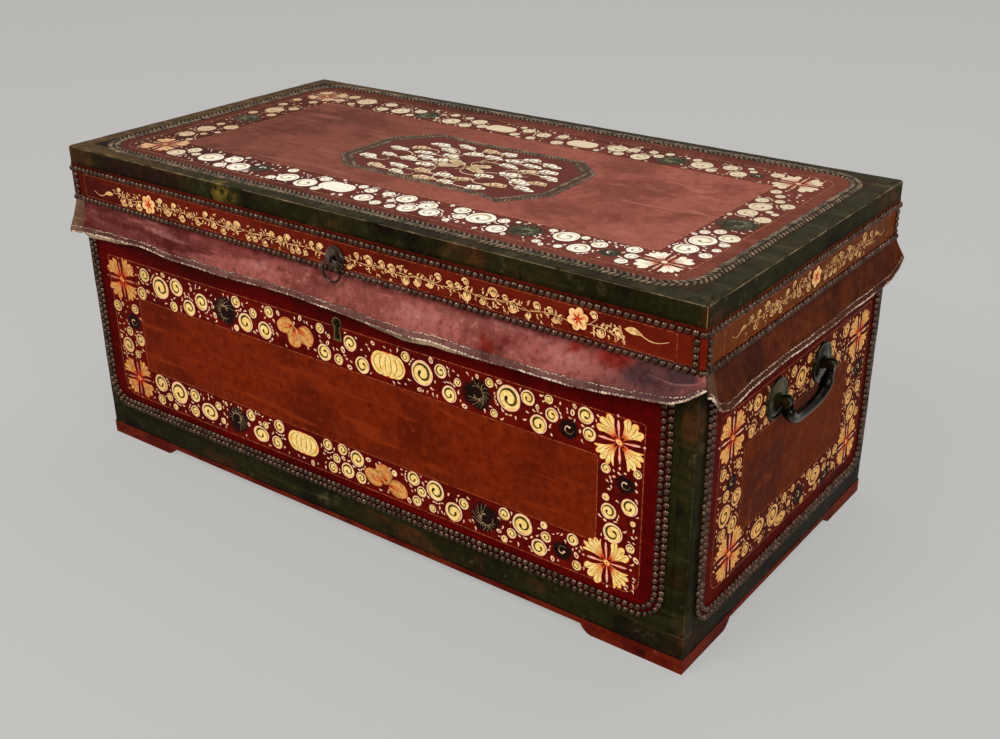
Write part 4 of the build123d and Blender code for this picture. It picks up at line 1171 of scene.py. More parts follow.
# %% Places of the painted shapes
# discs: across, up, radius and, where it is wider than high, half width.
BORDERS = {
    "front": dict(
        flowers=[(-405, 251, 32), (-397, 106, 32), (382, 253, 32), (372, 104, 32)],
        discs=[(-356, 268, 9.4), (-366, 240, 9), (-325, 257, 15.5), (-293, 265, 12), (-302, 236, 7),
               (-271, 242, 11), (-246, 256, 11.5), (-180, 272, 7.8), (-183, 236, 4.4), (-165, 248, 12.5),
               (-150, 264, 6.5), (-121, 273, 7.5), (-131, 246, 11.5), (-35, 273, 6.5), (-30, 243, 10.8),
               (-7, 240, 7), (13, 266, 10), (31, 243, 10.8), (98, 272, 6.3), (122, 258, 15.5),
               (149, 268, 8.6), (161, 243, 10.3), (173, 261, 5), (217, 273, 5.6), (243, 262, 15.5),
               (268, 270, 9), (295, 276, 5.2), (299, 259, 8.3), (282, 243, 11), (223, 238, 5),
               (341, 271, 9.6), (346, 251, 8), (-423, 209, 8), (-386, 212, 7), (-404, 175, 6.6),
               (-383, 167, 8.8), (-411, 153, 11), (-393, 143, 5.7), (367, 218, 5.8), (405, 223, 5),
               (368, 184, 4.4), (397, 181, 10), (372, 168, 9.4), (402, 163, 3.3), (378, 143, 12),
               (400, 132, 5.4), (-350, 111, 12.5), (-313, 107, 16), (-281, 112, 9.4), (-335, 94, 6),
               (-353, 85, 7.4), (-325, 82, 4.6), (-284, 88, 8.3), (-254, 96, 12, 15.5), (-235, 110, 6),
               (-228, 90, 4.5), (-173, 115, 8), (-156, 93, 11, 14), (-121, 115, 9), (-146, 109, 5),
               (-127, 90, 9), (-36, 116, 7.6), (-11, 117, 7.6), (13, 112, 11), (-22, 101, 6.2),
               (-29, 86, 7.5), (-4, 90, 10.5), (18, 87, 8), (103, 115, 9.2), (115, 101, 7), (136, 110, 13),
               (107, 86, 6.8), (131, 84, 5.2), (73, 112, 4.2), (163, 91, 12.5), (178, 107, 7),
               (236, 115, 7.8), (261, 110, 13.5), (246, 93, 6.4), (236, 82, 4.6), (284, 89, 10.5),
               (293, 106, 6.8), (290, 120, 4.6), (328, 116, 7.4), (334, 85, 6)],
        sprays=[(-78, 266, [(-93, 262, 27, 17), (-79, 250, 20, 24), (-60, 256, 24, 20)]),
                (60, 92, [(40, 96, 27, 18), (56, 105, 21, 24), (78, 91, 26, 19)])],
        ovals=[(71, 254, 52, 31), (-79, 104, 53, 30)],
        blots=[(-202, 255, 19), (200, 254, 18), (320, 249, 11), (-392, 192, 11.5), (391, 206, 10.5),
               (-199, 101, 18), (209, 100, 18.5), (315, 97, 11)],
    ),
    "right": dict(
        flowers=[(-158, 252, 31), (-145, 104, 32), (168, 251, 31), (170, 103, 31)],
        discs=[(-121, 271, 4), (-104, 270, 9.6), (-90, 253, 7), (-113, 240, 8), (-66, 262, 12), (-49, 271, 8),
               (-49, 240, 7), (5, 257, 13), (50, 270, 10), (126, 271, 9), (87, 262, 10), (110, 243, 7),
               (40, 238, 7), (-80, 238, 5), (-16, 272, 7), (-22, 244, 8), (24, 273, 6), (68, 244, 8),
               (-173, 214, 7), (-138, 213, 6), (-163, 184, 7), (-138, 172, 10.5), (-163, 160, 13),
               (-143, 140, 10), (-165, 137, 7.5), (150, 212, 6), (159, 221, 4.5), (152, 194, 5),
               (159, 170, 10), (186, 174, 8), (172, 146, 13), (192, 137, 6), (-104, 88, 8.5),
               (-76, 101, 11, 16), (-38, 99, 13.5), (-9, 108, 6.8), (-16, 84, 7.6, 15), (-67, 82, 5),
               (5, 94, 4.4), (58, 108, 7), (44, 80, 5), (76, 98, 12, 16), (82, 80, 5), (104, 97, 5.6),
               (134, 108, 7), (118, 108, 5), (132, 86, 5), (14, 110, 5)],
        sprays=[], ovals=[],
        blots=[(-152, 196, 9), (178, 203, 11.5), (30, 93, 12.5), (108, 84, 10)],
    ),
    "top": dict(
        flowers=[(-372, -164, 31), (384, -166, 31), (380, 154, 31), (-386, 157, 31)],
        discs=[(-318, -160, 9.5), (-330, -181, 12), (-302, -172, 6), (-275, -171, 16, 17), (-243, -161, 12),
               (-241, -187, 8.5), (-215, -180, 14.5), (-150, -188, 6.6), (-147, -152, 7), (-132, -177, 14),
               (-99, -180, 14.5), (-74, -189, 6.4), (-89, -155, 8), (-31, -152, 6), (-14, -158, 8),
               (-3, -183, 11.5), (12, -156, 7.8), (20, -189, 7), (30, -173, 5), (41, -158, 12.5),
               (42, -189, 6.6), (77, -163, 11.5), (63, -183, 12.5), (93, -181, 12), (119, -154, 10),
               (129, -172, 8), (124, -190, 4.6), (152, -163, 17), (178, -156, 7), (187, -182, 11.5),
               (194, -151, 3), (240, -151, 5), (244, -189, 5), (262, -159, 14.5), (281, -151, 5),
               (271, -189, 4.8), (292, -181, 12.5), (304, -160, 9), (341, -152, 8.8), (348, -170, 7),
               (347, -188, 7), (372, 111, 7), (384, 97, 6), (392, 79, 6), (373, 73, 8), (407, 67, 8.5),
               (382, 50, 13.5), (399, 38, 4.5), (408, 33, 4.6), (380, 23, 11.5), (405, 9, 9.6), (386, -52, 7),
               (373, -62, 6), (404, -66, 11.5), (409, -87, 6), (384, -87, 15), (410, -106, 5),
               (382, -119, 13.5), (408, -126, 7), (-347, 176, 9), (-313, 166, 15), (-270, 172, 9),
               (-352, 149, 8), (-324, 143, 6), (-236, 153, 13.5), (-265, 146, 9), (-209, 166, 9),
               (-210, 142, 6), (-155, 178, 7), (-140, 149, 13), (-128, 176, 6), (-110, 142, 9),
               (-104, 168, 11), (-87, 151, 8), (-35, 178, 5), (-20, 168, 9), (-26, 143, 7), (9, 162, 10),
               (2, 140, 6.6), (35, 170, 8), (44, 141, 8.6), (125, 162, 13.5), (138, 143, 7), (106, 140, 4),
               (146, 168, 8.6), (172, 174, 6), (168, 146, 12.5), (186, 162, 7), (194, 177, 6), (235, 174, 6),
               (250, 158, 14), (269, 145, 7), (284, 168, 9.6), (304, 149, 10.5), (315, 168, 5), (307, 178, 4),
               (345, 172, 8.6), (-408, 116, 7), (-377, 118, 7), (-390, 52, 14), (-371, 72, 8), (-405, 84, 7),
               (-405, 24, 7), (-367, -53, 10.5), (-390, -77, 13), (-362, -82, 4.6), (-390, -112, 11),
               (-372, -98, 5), (-366, -128, 5), (-393, -48, 6), (-372, 28, 7)],
        sprays=[], ovals=[(-57, -170, 50, 30), (-58, 156, 46, 28), (76, 154, 44, 28)],
        blots=[(-187, -167, 13), (215, -169, 18), (325, -174, 10), (390, -20, 20), (-187, 156, 17),
               (210, 155, 18), (326, 155, 8), (-386, -4, 18)],
    ),
}
GOLDEN_FLOWERS = {(-405, 251), (-397, 106), (-372, -164)}
TRIES = 3200


def fill_small(pens, frames, layout, taken, seed):
    """Drops and rings in the free places between two frames.

    First come trains of drops, on arcs just outside the large discs, then single
    ones. A place is kept where it is further from every shape than their radii
    added up.
    """
    rng = np.random.default_rng(seed)
    x0, x1, y0, y1 = frames["outer"][:4]
    i0, i1, j0, j1 = frames["inner"][:4]
    spots = []
    for x, y, r, *_wide in layout["discs"]:
        if r >= 7.5:
            first, way = rng.uniform(0, 2 * pi), rng.choice([-1, 1])
            away = r + 3.6
            for step in range(6):
                a = first + way * step * 4.4 / away
                spots.append((x + away * cos(a), y + away * sin(a), 2.1 - 0.15 * step, a + way * pi / 2))
    loose = rng.uniform((x0 + 4, y0 + 4), (x1 - 4, y1 - 4), (TRIES, 2))
    sizes = np.where(rng.random(TRIES) < 0.2, rng.uniform(2.6, 3.9, TRIES), rng.uniform(1.3, 2.1, TRIES))
    leans = rng.normal(-0.9, 0.6, TRIES) + 0.6 * np.sin(loose[:, 0] / 30)
    spots += [(x, y, r, a) for (x, y), r, a in zip(loose.tolist(), sizes.tolist(), leans.tolist())]
    for x, y, r, angle in spots:
        in_outer = x0 + 4 < x < x1 - 4 and y0 + 4 < y < y1 - 4
        in_field = i0 - 3 < x < i1 + 3 and j0 - 3 < y < j1 + 3
        if in_field or not in_outer:
            continue
        near = np.hypot(taken[:, 0] - x, taken[:, 1] - y) - taken[:, 2]
        if near.min() < r + 0.9:
            continue
        taken = np.vstack([taken, (x, y, r)])
        if r > 2.3:
            ring_dot(pens, x, y, r, angle)
        elif rng.random() < 0.7:
            drop(pens, x - r * cos(angle), y - r * sin(angle), 2.9 * r, angle, "rim")
        else:
            pens["rim"].patch(ellipse(x, y, 1.1 * r, 0.62 * r, angle, 9), BODY)


def keyhole_place():
    """The keyhole's opening on the front face: middle across and up, and half its height."""
    low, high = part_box("keyhole_liner")
    return (low.x + high.x) / 2 / MM, (low.z + high.z) / 2 / MM, (high.z - low.z) / 2 / MM


def paint_border(layout, frames, seed, opening=None):
    """All shapes of one border, as a set of brushes by colour.

    opening is a keyhole: no drop falls on it and the gold line stops on either side.
    """
    pens = clean_brushes()
    for x, y, r in layout["blots"]:
        blot(pens, x, y, r)
    for x, y, r in layout["flowers"]:
        corner_flower(pens, x, y, r, 0.05, "amber" if (x, y) in GOLDEN_FLOWERS else "cream")
    for x, y, r, *wide in layout["discs"]:
        disc(pens, x, y, r, *wide)
    for x, y, petals in layout["sprays"]:
        spray(pens, x, y, petals)
    for x, y, w, h in layout["ovals"]:
        ovals(pens, x, y, w, h)
    taken = [(x, y, r * 0.93) for x, y, r in layout["flowers"]] + [d[:3] for d in layout["discs"]]
    taken += [(d[0] + k * d[3] / 2, d[1], d[2]) for d in layout["discs"] if len(d) > 3 for k in (-1, 1)]
    taken += [(px, py, max(w, h) / 2) for _x, _y, petals in layout["sprays"] for px, py, w, h in petals]
    taken += [(x + k * w / 3.4, y, h / 2) for x, y, w, h in layout["ovals"] for k in (-1, 0, 1)]
    taken += [(x, y, 0.9 * r) for x, y, r in layout["blots"]]
    if opening:
        x, y, half = opening
        taken += [(x, y + k * half / 2, half / 2 + 1) for k in (-1, 1)]
    fill_small(pens, frames, layout, np.array([t[:3] for t in taken], float), seed)
    for key in ("outer", "inner"):
        line = rounded_outline(frames[key], 3.0)
        line = np.vstack([line, line[:2]]) + SCREEN.normal(0, 0.05, (len(line) + 2, 2))
        if opening:
            x, y, half = opening
            inside = (np.abs(line[:, 0] - x) < 0.5 * half) & (np.abs(line[:, 1] - y) < half + 1)
            over = np.flatnonzero(inside)
            if len(over):
                line = np.vstack([line[over[-1] + 1:-2], line[:over[0]]])
        pens["gold"].stroke(line, 1.1 if key == "outer" else 0.95, LINE)
    return pens


placed = sum(len(b[kind]) for b in BORDERS.values() for kind in ("discs", "flowers", "blots"))
print("shapes with fixed places:", placed)

# %% [markdown]
# ## Colours of paint
# The paint is a cream that has yellowed under varnish and is whiter on the lid, where
# it was rubbed and where a painted sheen stands for the light on the lid's top. Olive
# draws the spirals, vermilion the veins, and a dull gold the
# lines. Each is broken by worn spots that let the leather through, and the cream of
# the lid turns tan towards the back and the left.


# %% Paint materials
def paint_material(name, colour, second, worn, wear=0.40, ages=()):
    """Brush paint: two tones in streaks, and small worn spots of the ground.

    ages lists (axis, from, to, colour): the paint turns to the colour between two
    places along an axis.
    """
    look = Finish(name, colour, 0.03)
    tone = look.noise(200.0, 5.0, look.moved(Rotation=(0.2, 0.3, 0.5), Scale=(1.0, 3.0, 1.0)))
    chips = look.noise(520.0, 5.0, Roughness=0.7)
    area = look.noise(22.0, 3.0)
    look.wash(tone.step(0.42, 0.62), second)
    for axis, start, end, aged in ages:
        uneven = look.axes()[axis] + area * 0.08
        look.wash(uneven.step(start + 0.04, end + 0.04) * 0.85, aged)
    look.wash((wear - area * 0.12 - chips).step(0.0, 0.03), worn)
    return look.done(tone, 0.3, 0.0003, Roughness=0.5)


def paint_set(ground, *rows):
    """Paints by key. A row is a key, a name, two tones and what isn't plain about it."""
    made = {}
    for key, name, first, second, *special in rows:
        more = {"worn": ground, **(special[0] if special else {})}
        made[key] = paint_material(name, tint(*first), tint(*second), **more)
    return made


DARK_GROUND, TOP_GROUND = tint(84, 12, 6), tint(82, 36, 28)
FRONT_AGES = ((0, -0.26, -0.42, tint(206, 156, 100)),)
ROSE_AGES = ((0, -0.26, -0.38, tint(150, 84, 54)),)
LID_AGES = ((1, -0.13, 0.02, tint(200, 178, 146)), (0, -0.24, -0.37, tint(184, 146, 108)))
PAINTS = paint_set(
    DARK_GROUND,
    ("cream", "cream paint", (244, 210, 134), (230, 184, 96), dict(ages=FRONT_AGES)),
    ("rim", "rosy cream paint", (238, 196, 158), (226, 172, 128), dict(ages=FRONT_AGES)),
    ("amber", "amber paint", (208, 150, 84), (180, 118, 58)),
    ("olive", "olive paint", (92, 82, 26), (66, 54, 16)),
    ("eye", "dark olive paint", (58, 40, 16), (42, 26, 12)),
    ("red", "vermilion paint", (206, 70, 26), (176, 44, 18), dict(worn=tint(236, 190, 110))),
    ("rose", "rose paint", (236, 186, 160), (214, 150, 126), dict(ages=ROSE_AGES)),
    ("dark", "blot paint", (30, 9, 5), (22, 12, 7), dict(worn=tint(48, 12, 7), wear=0.44)),
    ("smudge", "smudge paint", (58, 6, 3), (40, 8, 4), dict(wear=0.50)),
    ("moss", "moss paint", (170, 140, 104), (124, 100, 66), dict(worn=tint(40, 16, 12))),
    ("gold", "gold line paint", (164, 84, 44), (128, 54, 24), dict(wear=0.55)),
    ("shade", "dark red glaze", (82, 4, 4), (70, 5, 4)),
)
SIDE_PAINTS = PAINTS | paint_set(
    DARK_GROUND,
    ("cream", "orange cream paint", (236, 178, 104), (200, 142, 72)),
    ("rim", "orange rim paint", (230, 174, 120), (196, 138, 88)),
    ("amber", "orange paint", (232, 160, 66), (206, 128, 44)),
    ("olive", "brown olive paint", (116, 84, 30), (90, 60, 22)),
)
# The lid's paints are paler than the case's: partly worn and faded, partly a painted sheen of the light on
# the lid's top.
TOP_PAINTS = PAINTS | paint_set(
    TOP_GROUND,
    ("cream", "white paint", (238, 232, 216), (226, 214, 190), dict(ages=LID_AGES)),
    ("rim", "white rim paint", (236, 226, 212), (222, 206, 188), dict(ages=LID_AGES)),
    ("amber", "tan paint", (208, 164, 118), (182, 132, 92)),
    ("olive", "pale olive paint", (196, 182, 150), (172, 156, 120)),
    ("eye", "dark green paint", (158, 142, 112), (126, 110, 82)),
    ("red", "faded red paint", (176, 96, 64), (150, 84, 60), dict(worn=tint(220, 200, 160))),
    ("rose", "faded rose paint", (204, 172, 146), (176, 138, 110)),
    ("dark", "green blot paint", (52, 50, 34), (46, 42, 32), dict(worn=tint(66, 38, 30))),
    ("smudge", "green smudge paint", (70, 52, 38), (80, 52, 42), dict(wear=0.48)),
    ("moss", "grey green paint", (142, 138, 104), (104, 104, 78), dict(worn=tint(50, 48, 34))),
    ("gold", "faded gold line", (172, 116, 78), (146, 88, 62), dict(wear=0.56)),
    ("shade", "dark brown glaze", (72, 40, 30), (60, 34, 26)),
)


def lay_paint(face, pens, paints, prefix):
    """Makes one thin closed piece for each colour and fixes it to its face."""
    count = 0
    for key, pen in pens.items():
        if not pen.count:
            continue
        flat = np.concatenate(pen.blocks)
        points, body = on_face(face, flat[:, :2], flat[:, 2]), FACES[face]["body"]
        piece = new_piece(f"{prefix}_{key}", points, pen.faces, paints[key], body, smooth=False)
        wall = piece.modifiers.new("paint thickness", "SOLIDIFY")
        wall.thickness, wall.offset = PAINT_THICKNESS, -1.0
        count += len(piece.data.polygons)
    return count


VINE_TONES = {"front": ((234, 188, 128), (204, 150, 94)), "right": ((214, 168, 108), (164, 118, 70))}
BAND_PAINTS = {side: PAINTS | paint_set(
    DARK_GROUND,
    ("amber", side + " band amber", (238, 194, 132), (222, 164, 96)),
    ("cream", side + " band cream", *tones),
) for side, tones in VINE_TONES.items()}
PALETTES = {"front": PAINTS, "right": SIDE_PAINTS, "top": TOP_PAINTS}
LIKE = {"back": "front", "left": "right"}
for seed, face in enumerate(("front", "right", "top", "back", "left"), start=5):
    kind = LIKE.get(face, face)
    opening = keyhole_place() if face == "front" else None
    pens = paint_border(BORDERS[kind], FRAMES[kind], seed, opening)
    count = lay_paint(face, pens, PALETTES[kind], f"paint_{face}")
    print("painted", face, count, "faces")

# %% [markdown]
# ## The vine on the lid bands
# A thin wavy stem runs each way from the middle of a band to a pointed leaf. Round
# commas hang from it above and below, and a six-petalled flower sits on each half of
# the long bands and in the middle of the short ones. Every comma starts with a tail
# on the stem and winds into its own head, so it is a line of two parts, a curve and
# a spiral, and one filled eye.

# %% Places on the bands
# commas: across, height and radius; leaves: across, height, way and length.
VINES = {
    "front": dict(
        frame=(-449, 444, 361.5, 391), line=0.8, middle=374, flowers=[(-321, 373, 13), (332, 378, 13)],
        leaves=[(-392, 373, -1, 17), (386, 381, 1, 22)],
        commas=[(-378, 381, 5), (-370, 367, 7), (-357, 368, 6), (-340, 367, 8), (-297, 381, 6),
                (-284, 370, 7), (-271, 380, 6), (-257, 368, 7), (-243, 374, 5), (-228, 368, 6),
                (-213, 380, 6), (-198, 370, 6), (-182, 366, 6), (-172, 376, 6), (-157, 377, 8),
                (-138, 366, 5), (-127, 368, 6), (-110, 365, 6), (-98, 378, 6), (-84, 375, 6), (-72, 379, 7),
                (-65, 366, 5), (-55, 368, 6), (-43, 368, 5), (-33, 380, 5), (-20, 379, 7), (24, 366, 5),
                (36, 381, 5), (53, 379, 8), (73, 379, 6), (87, 377, 7), (100, 380, 4), (107, 368, 7),
                (124, 370, 7), (142, 371, 6), (153, 382, 6), (169, 377, 6), (180, 378, 5), (190, 385, 6),
                (191, 370, 8), (213, 369, 6), (226, 381, 8), (242, 379, 5), (252, 371, 8), (271, 367, 5),
                (282, 380, 6), (298, 379, 5), (305, 371, 6), (350, 386, 6), (359, 370, 7), (378, 375, 7)]),
    "right": dict(
        frame=(-203, 212, 361.8, 391.5), line=1.2, middle=377, flowers=[(6, 377, 12)],
        leaves=[(-158, 377, -1, 13), (168, 378, 1, 13)],
        commas=[(-145, 380, 4), (-138, 370, 5), (-131, 381, 6), (-112, 383, 7), (-100, 372, 6), (-90, 376, 7),
                (-80, 369, 6), (-66, 382, 6), (-50, 386, 6), (-48, 374, 5), (-36, 373, 7), (-24, 382, 5),
                (-13, 386, 5), (-12, 371, 7), (30, 370, 6), (44, 370, 6), (55, 370, 6), (50, 383, 5),
                (68, 383, 6), (80, 371, 5), (92, 383, 6), (100, 371, 6), (115, 373, 6), (125, 368, 6),
                (135, 384, 8), (155, 382, 6)]),
}

# %% Vine on the bands
def comma(pens, x, y, r, middle):
    """A tail from the stem that winds round into a filled head with a dark curl."""
    r *= 0.94
    up, way = (1 if y > middle else -1), (1 if x > 0 else -1)
    pens["shade"].patch(ellipse(x, y, r + 0.9, r + 0.9, 0, 14), GLAZE)
    a0 = -up * pi / 2 + way * up * 0.4
    head = arc(x, y, 0.95 * r, 0.66 * r, a0, a0 + way * up * 4.2, 16)
    t = np.linspace(0, 1, 7)[:, None]
    foot = np.array([x - way * 1.4 * r, middle])
    tail = foot + (head[0] - foot) * t + np.array([0.0, -0.12 * r * up]) * np.sin(pi * t)
    line = np.vstack([tail[:-1], head])
    s = np.linspace(0, 1, len(line))
    pens["cream"].stroke(line, np.interp(s, (0, 0.25, 0.7, 1), (0.4, 0.11 * r, 0.16 * r, 0.3 * r)), 0.16)
    eye = ellipse(x + 0.1 * way * r, y + 0.05 * up * r, 0.52 * r, 0.68 * r, 0.5 * way, 14)
    pens["cream"].patch(eye, 0.15)
    curl = arc(x, y, 0.52 * r, 0.14 * r, a0 + 1.2, a0 + 1.2 + way * up * 3.2, 9)
    pens["olive"].stroke(curl, swell(9, 0.26 * r), SCROLL)
    if r > 5.2:
        for k in (0, 1):
            turn = (-up * (0.7 + 0.5 * k) if way > 0 else pi + up * (0.7 + 0.5 * k))
            drop(pens, x + way * (0.8 - 0.7 * k) * r, middle - up * (1.6 + k), 0.85 * r, turn)


def small_flower(pens, x, y, r):
    """Six round petals with a red heart and red rays."""
    pens["shade"].patch(ellipse(x, y, r + 1, r + 1, 0, 18), GLAZE)
    for k in range(6):
        a = k * pi / 3 + 0.3
        px, py = x + 0.58 * r * cos(a), y + 0.58 * r * sin(a)
        pens["amber"].patch(ellipse(px, py, 0.42 * r, 0.36 * r, a, 14), 0.15 + 0.01 * k)
        for ray in (-0.2, 0.0, 0.2):
            t = np.linspace(0.1, 0.8 - abs(ray), 5)
            pens["red"].stroke(polar(x, y, r * t, a + ray), np.linspace(0.10, 0.02, 5) * r, 0.27)
    pens["red"].patch(ellipse(x, y, 0.18 * r, 0.18 * r, 0, 10), VEIN)


def leaf(pens, x, y, length, way, lean=0.0):
    """A pointed leaf with a vein, ending in a long thin tail."""
    t = np.linspace(0, 1, 12)
    line = np.stack([x + way * length * t, y + lean * length * t + 1.5 * np.sin(pi * t)], 1)
    pens["cream"].stroke(line, length * 0.32 * np.sin(pi * t ** 0.8) ** 1.2 + 0.2, 0.16)
    pens["olive"].stroke(line[2:10], 0.4, SCROLL)
    s = np.linspace(0, 1, 14)
    tail = np.stack([x + way * length * (0.9 + 1.35 * s), y + lean * length - 3.4 * np.sin(pi * s * 1.1)], 1)
    pens["cream"].stroke(tail, 1.1 - 0.7 * s, 0.15)


def paint_band(vine, seed):
    """A vine about the middle line of the band, with its gold frame."""
    pens = clean_brushes()
    rng = np.random.default_rng(seed)
    middle, ends = vine["middle"], [leaf_at[0] for leaf_at in vine["leaves"]]
    x = np.linspace(*ends, 260)
    wave = middle + 1.6 * np.sin(x / 9.0) + 0.8 * np.sin(x / 23.0)
    pens["cream"].stroke(np.stack([x, wave], 1), 0.55, BODY)
    for cx, cy, r in vine["commas"]:
        comma(pens, cx, cy, r, middle)
    for place in rng.uniform(ends[0], ends[1], int(0.32 * (ends[1] - ends[0]))).tolist():
        near = min(abs(place - at[0]) - at[2] for at in vine["flowers"])
        if near > 2:
            drop(pens, place, middle + rng.uniform(-10, 10), rng.uniform(3.0, 5.0), rng.normal(-0.9, 0.7))
    for lx, ly, way, length in vine["leaves"]:
        leaf(pens, lx, ly, length, way, -0.12)
    for flower in vine["flowers"]:
        small_flower(pens, *flower)
    line = rounded_outline((*vine["frame"], 2, 2), 3.0)
    pens["gold"].stroke(np.vstack([line, line[:2]]), vine["line"], LINE)
    return pens


for seed, side in enumerate(("front", "right", "back", "left"), start=60):
    kind = LIKE.get(side, side)
    count = lay_paint(side + "_band", paint_band(VINES[kind], seed), BAND_PAINTS[kind], f"vine_{side}")
    print("vine on the", side, "band:", count, "faces")

# %% [markdown]
# ## The medallion on the lid
# The middle of the lid carries an uneven medallion of ten corners: a dark border of
# small slanted nails, and scalloped leaves with thin tendrils, packed round a flower
# of four lobed petals on a darker ground. Its outline is drawn as corners, and each
# leaf has its own place, because the painter fitted them to each other.

# %% Medallion
MEDALLION = np.array([(-152, -64), (-113, -98), (108, -101), (132, -109), (172, -56), (168, 46), (125, 86),
                      (-51, 80), (-109, 88), (-154, 34)], float)
MEDALLION_LEAVES = [
    (-75, 50), (-40, 62), (0, 63), (30, 65), (70, 60), (105, 52), (-90, 22), (-70, 5), (-30, 12), (-55, -12),
    (-35, -40), (-70, -30), (-105, -30), (-112, 2), (-60, -65), (-84, -82), (-45, -88), (-20, -65), (0, -90),
    (15, -65), (35, -88), (45, -65), (95, -62), (80, -86), (112, -34), (60, -38), (84, -14), (20, 40),
    (52, 42), (85, 36), (60, 18), (97, 12), (118, 25), (134, 3), (134, -25), (132, -54), (-10, 38),
    (-122, -52), (-50, 34), (-28, -12)]


def medallion_outline(size, pitch):
    """Even points on the outline, made smaller about its middle."""
    centre = MEDALLION.mean(0)
    return even_points(centre + (MEDALLION - centre) * size, pitch)


def lobed_leaf(pens, x, y, wide, high, turned, way, up):
    """A cloud-shaped leaf: a scalloped outline, dark shading in its folds and along
    the foot, and a thin tendril that bends round and ends in a hook."""
    c, s = cos(turned), sin(turned)
    pen = SCREEN.choice(["cream"] * 6 + ["rim", "amber"])

    def placed(px, py):
        """Turns points of the leaf by its own angle and moves them to its centre."""
        return np.stack([x + c * px - s * py, y + s * px + c * py], -1)

    a = np.arange(34) / 34 * 2 * pi
    r = 0.80 + 0.20 * np.abs(np.sin(2.5 * a + SCREEN.uniform(0, 3))) + 0.07 * np.sin(3 * a + x)
    for size, tone, height in ((1.12, "shade", 0.08), (1.0, pen, 0.15)):
        pens[tone].patch(placed(0.5 * wide * size * r * np.cos(a), 0.5 * high * size * r * np.sin(a)), height)
    t = np.linspace(0, 1, 8)
    for dx, lean in ((-0.24, 0.6), (0.03, -0.4), (0.27, 0.5)):
        fold = placed(wide * (dx + 0.14 * lean * t), high * (0.34 - 0.5 * t))
        pens["eye"].stroke(fold, swell(8, 1.9), 0.27)
    foot = placed(wide * (0.40 - 0.80 * t), high * (-0.30 + 0.09 * np.sin(3 * pi * t)))
    pens["olive"].stroke(foot, swell(8, 3.4), 0.26)
    t = np.linspace(0, 1, 17)
    bend = 0.1 + 2.9 * t ** 2
    step = 0.075 * wide * SCREEN.uniform(0.6, 1.5)
    px = -way * wide * 0.40 - way * np.cumsum(step * np.cos(bend))
    py = up * np.cumsum(step * np.sin(bend)) - 0.1 * high
    pens["rim"].stroke(placed(px, py), 1.8 - 1.1 * t, 0.13)


def paint_medallion():
    """Ground, leaves and flower of the medallion."""
    pens = clean_brushes()
    pens["smudge"].patch(medallion_outline(1.0, 9.0), 0.02)
    pens["ground"].patch(medallion_outline(0.885, 9.0), GLAZE)
    centre = MEDALLION.mean(0)
    cx, cy = 14, -15
    for x, y in (centre + (0.96, 0.9) * (np.array(MEDALLION_LEAVES) - centre)).tolist():
        wide, high = SCREEN.uniform(25, 34), SCREEN.uniform(14, 19)
        way, up = (1 if x > cx else -1), (1 if y < cy else -1)
        lobed_leaf(pens, x, y, wide, high, SCREEN.uniform(-0.3, 0.3), way, up)
    for k, (dx, dy, a) in enumerate(((-19, 8, -0.3), (-21, -7, 0.3), (17, 9, 0.35), (20, -6, -0.3))):
        pens["shade"].patch(ellipse(cx + dx, cy + dy, 17.5, 10, a, 22, 0.12), 0.1 + 0.005 * k)
        for away in (0.75, 1.0, 1.25):
            lobe = ellipse(cx + away * dx, cy + away * dy, 9.5, 6.6, a, 18, 0.16)
            pens["tan"].patch(lobe, 0.18 + 0.01 * k + 0.01 * away)
        t = np.linspace(0.15, 0.95, 7)
        for lean in (-0.24, 0.0, 0.24):
            vein = np.stack([cx + 1.75 * dx * t, cy + 1.6 * dy * t + 30 * lean * t], 1)
            pens["olive"].stroke(vein, swell(7, 1.9), 0.27)
    pens["red"].stroke(arc(cx, cy, 3.2, 3.2, 0, 2 * pi, 12), 1.4, VEIN)
    return pens


MEDALLION_PAINTS = TOP_PAINTS | paint_set(
    TOP_GROUND,
    ("cream", "medallion white", (236, 228, 208), (210, 192, 160)),
    ("rim", "medallion tan", (216, 192, 158), (190, 160, 124)),
    ("olive", "medallion shade", (132, 112, 82), (106, 84, 60)),
    ("eye", "medallion fold", (96, 66, 46), (82, 52, 38)),
    ("amber", "medallion sand", (214, 184, 146), (186, 152, 114)),
    ("tan", "medallion flower", (218, 190, 150), (188, 156, 116)),
    ("ground", "medallion ground", (96, 42, 34), (84, 38, 30)),
)
count = lay_paint("top", paint_medallion(), MEDALLION_PAINTS, "medallion")
rows = [slanted(medallion_outline(size, 5.4), lean) for size, lean in ((0.98, 0.8), (0.915, -0.8))]
nail_count = nails("nails_medallion", {"top": np.vstack(rows)}, 1.5, 1.0, 51, lid_nail_metal, longer=2.5)
print("medallion:", len(MEDALLION_LEAVES), "leaves,", count, "faces,", nail_count, "nails")
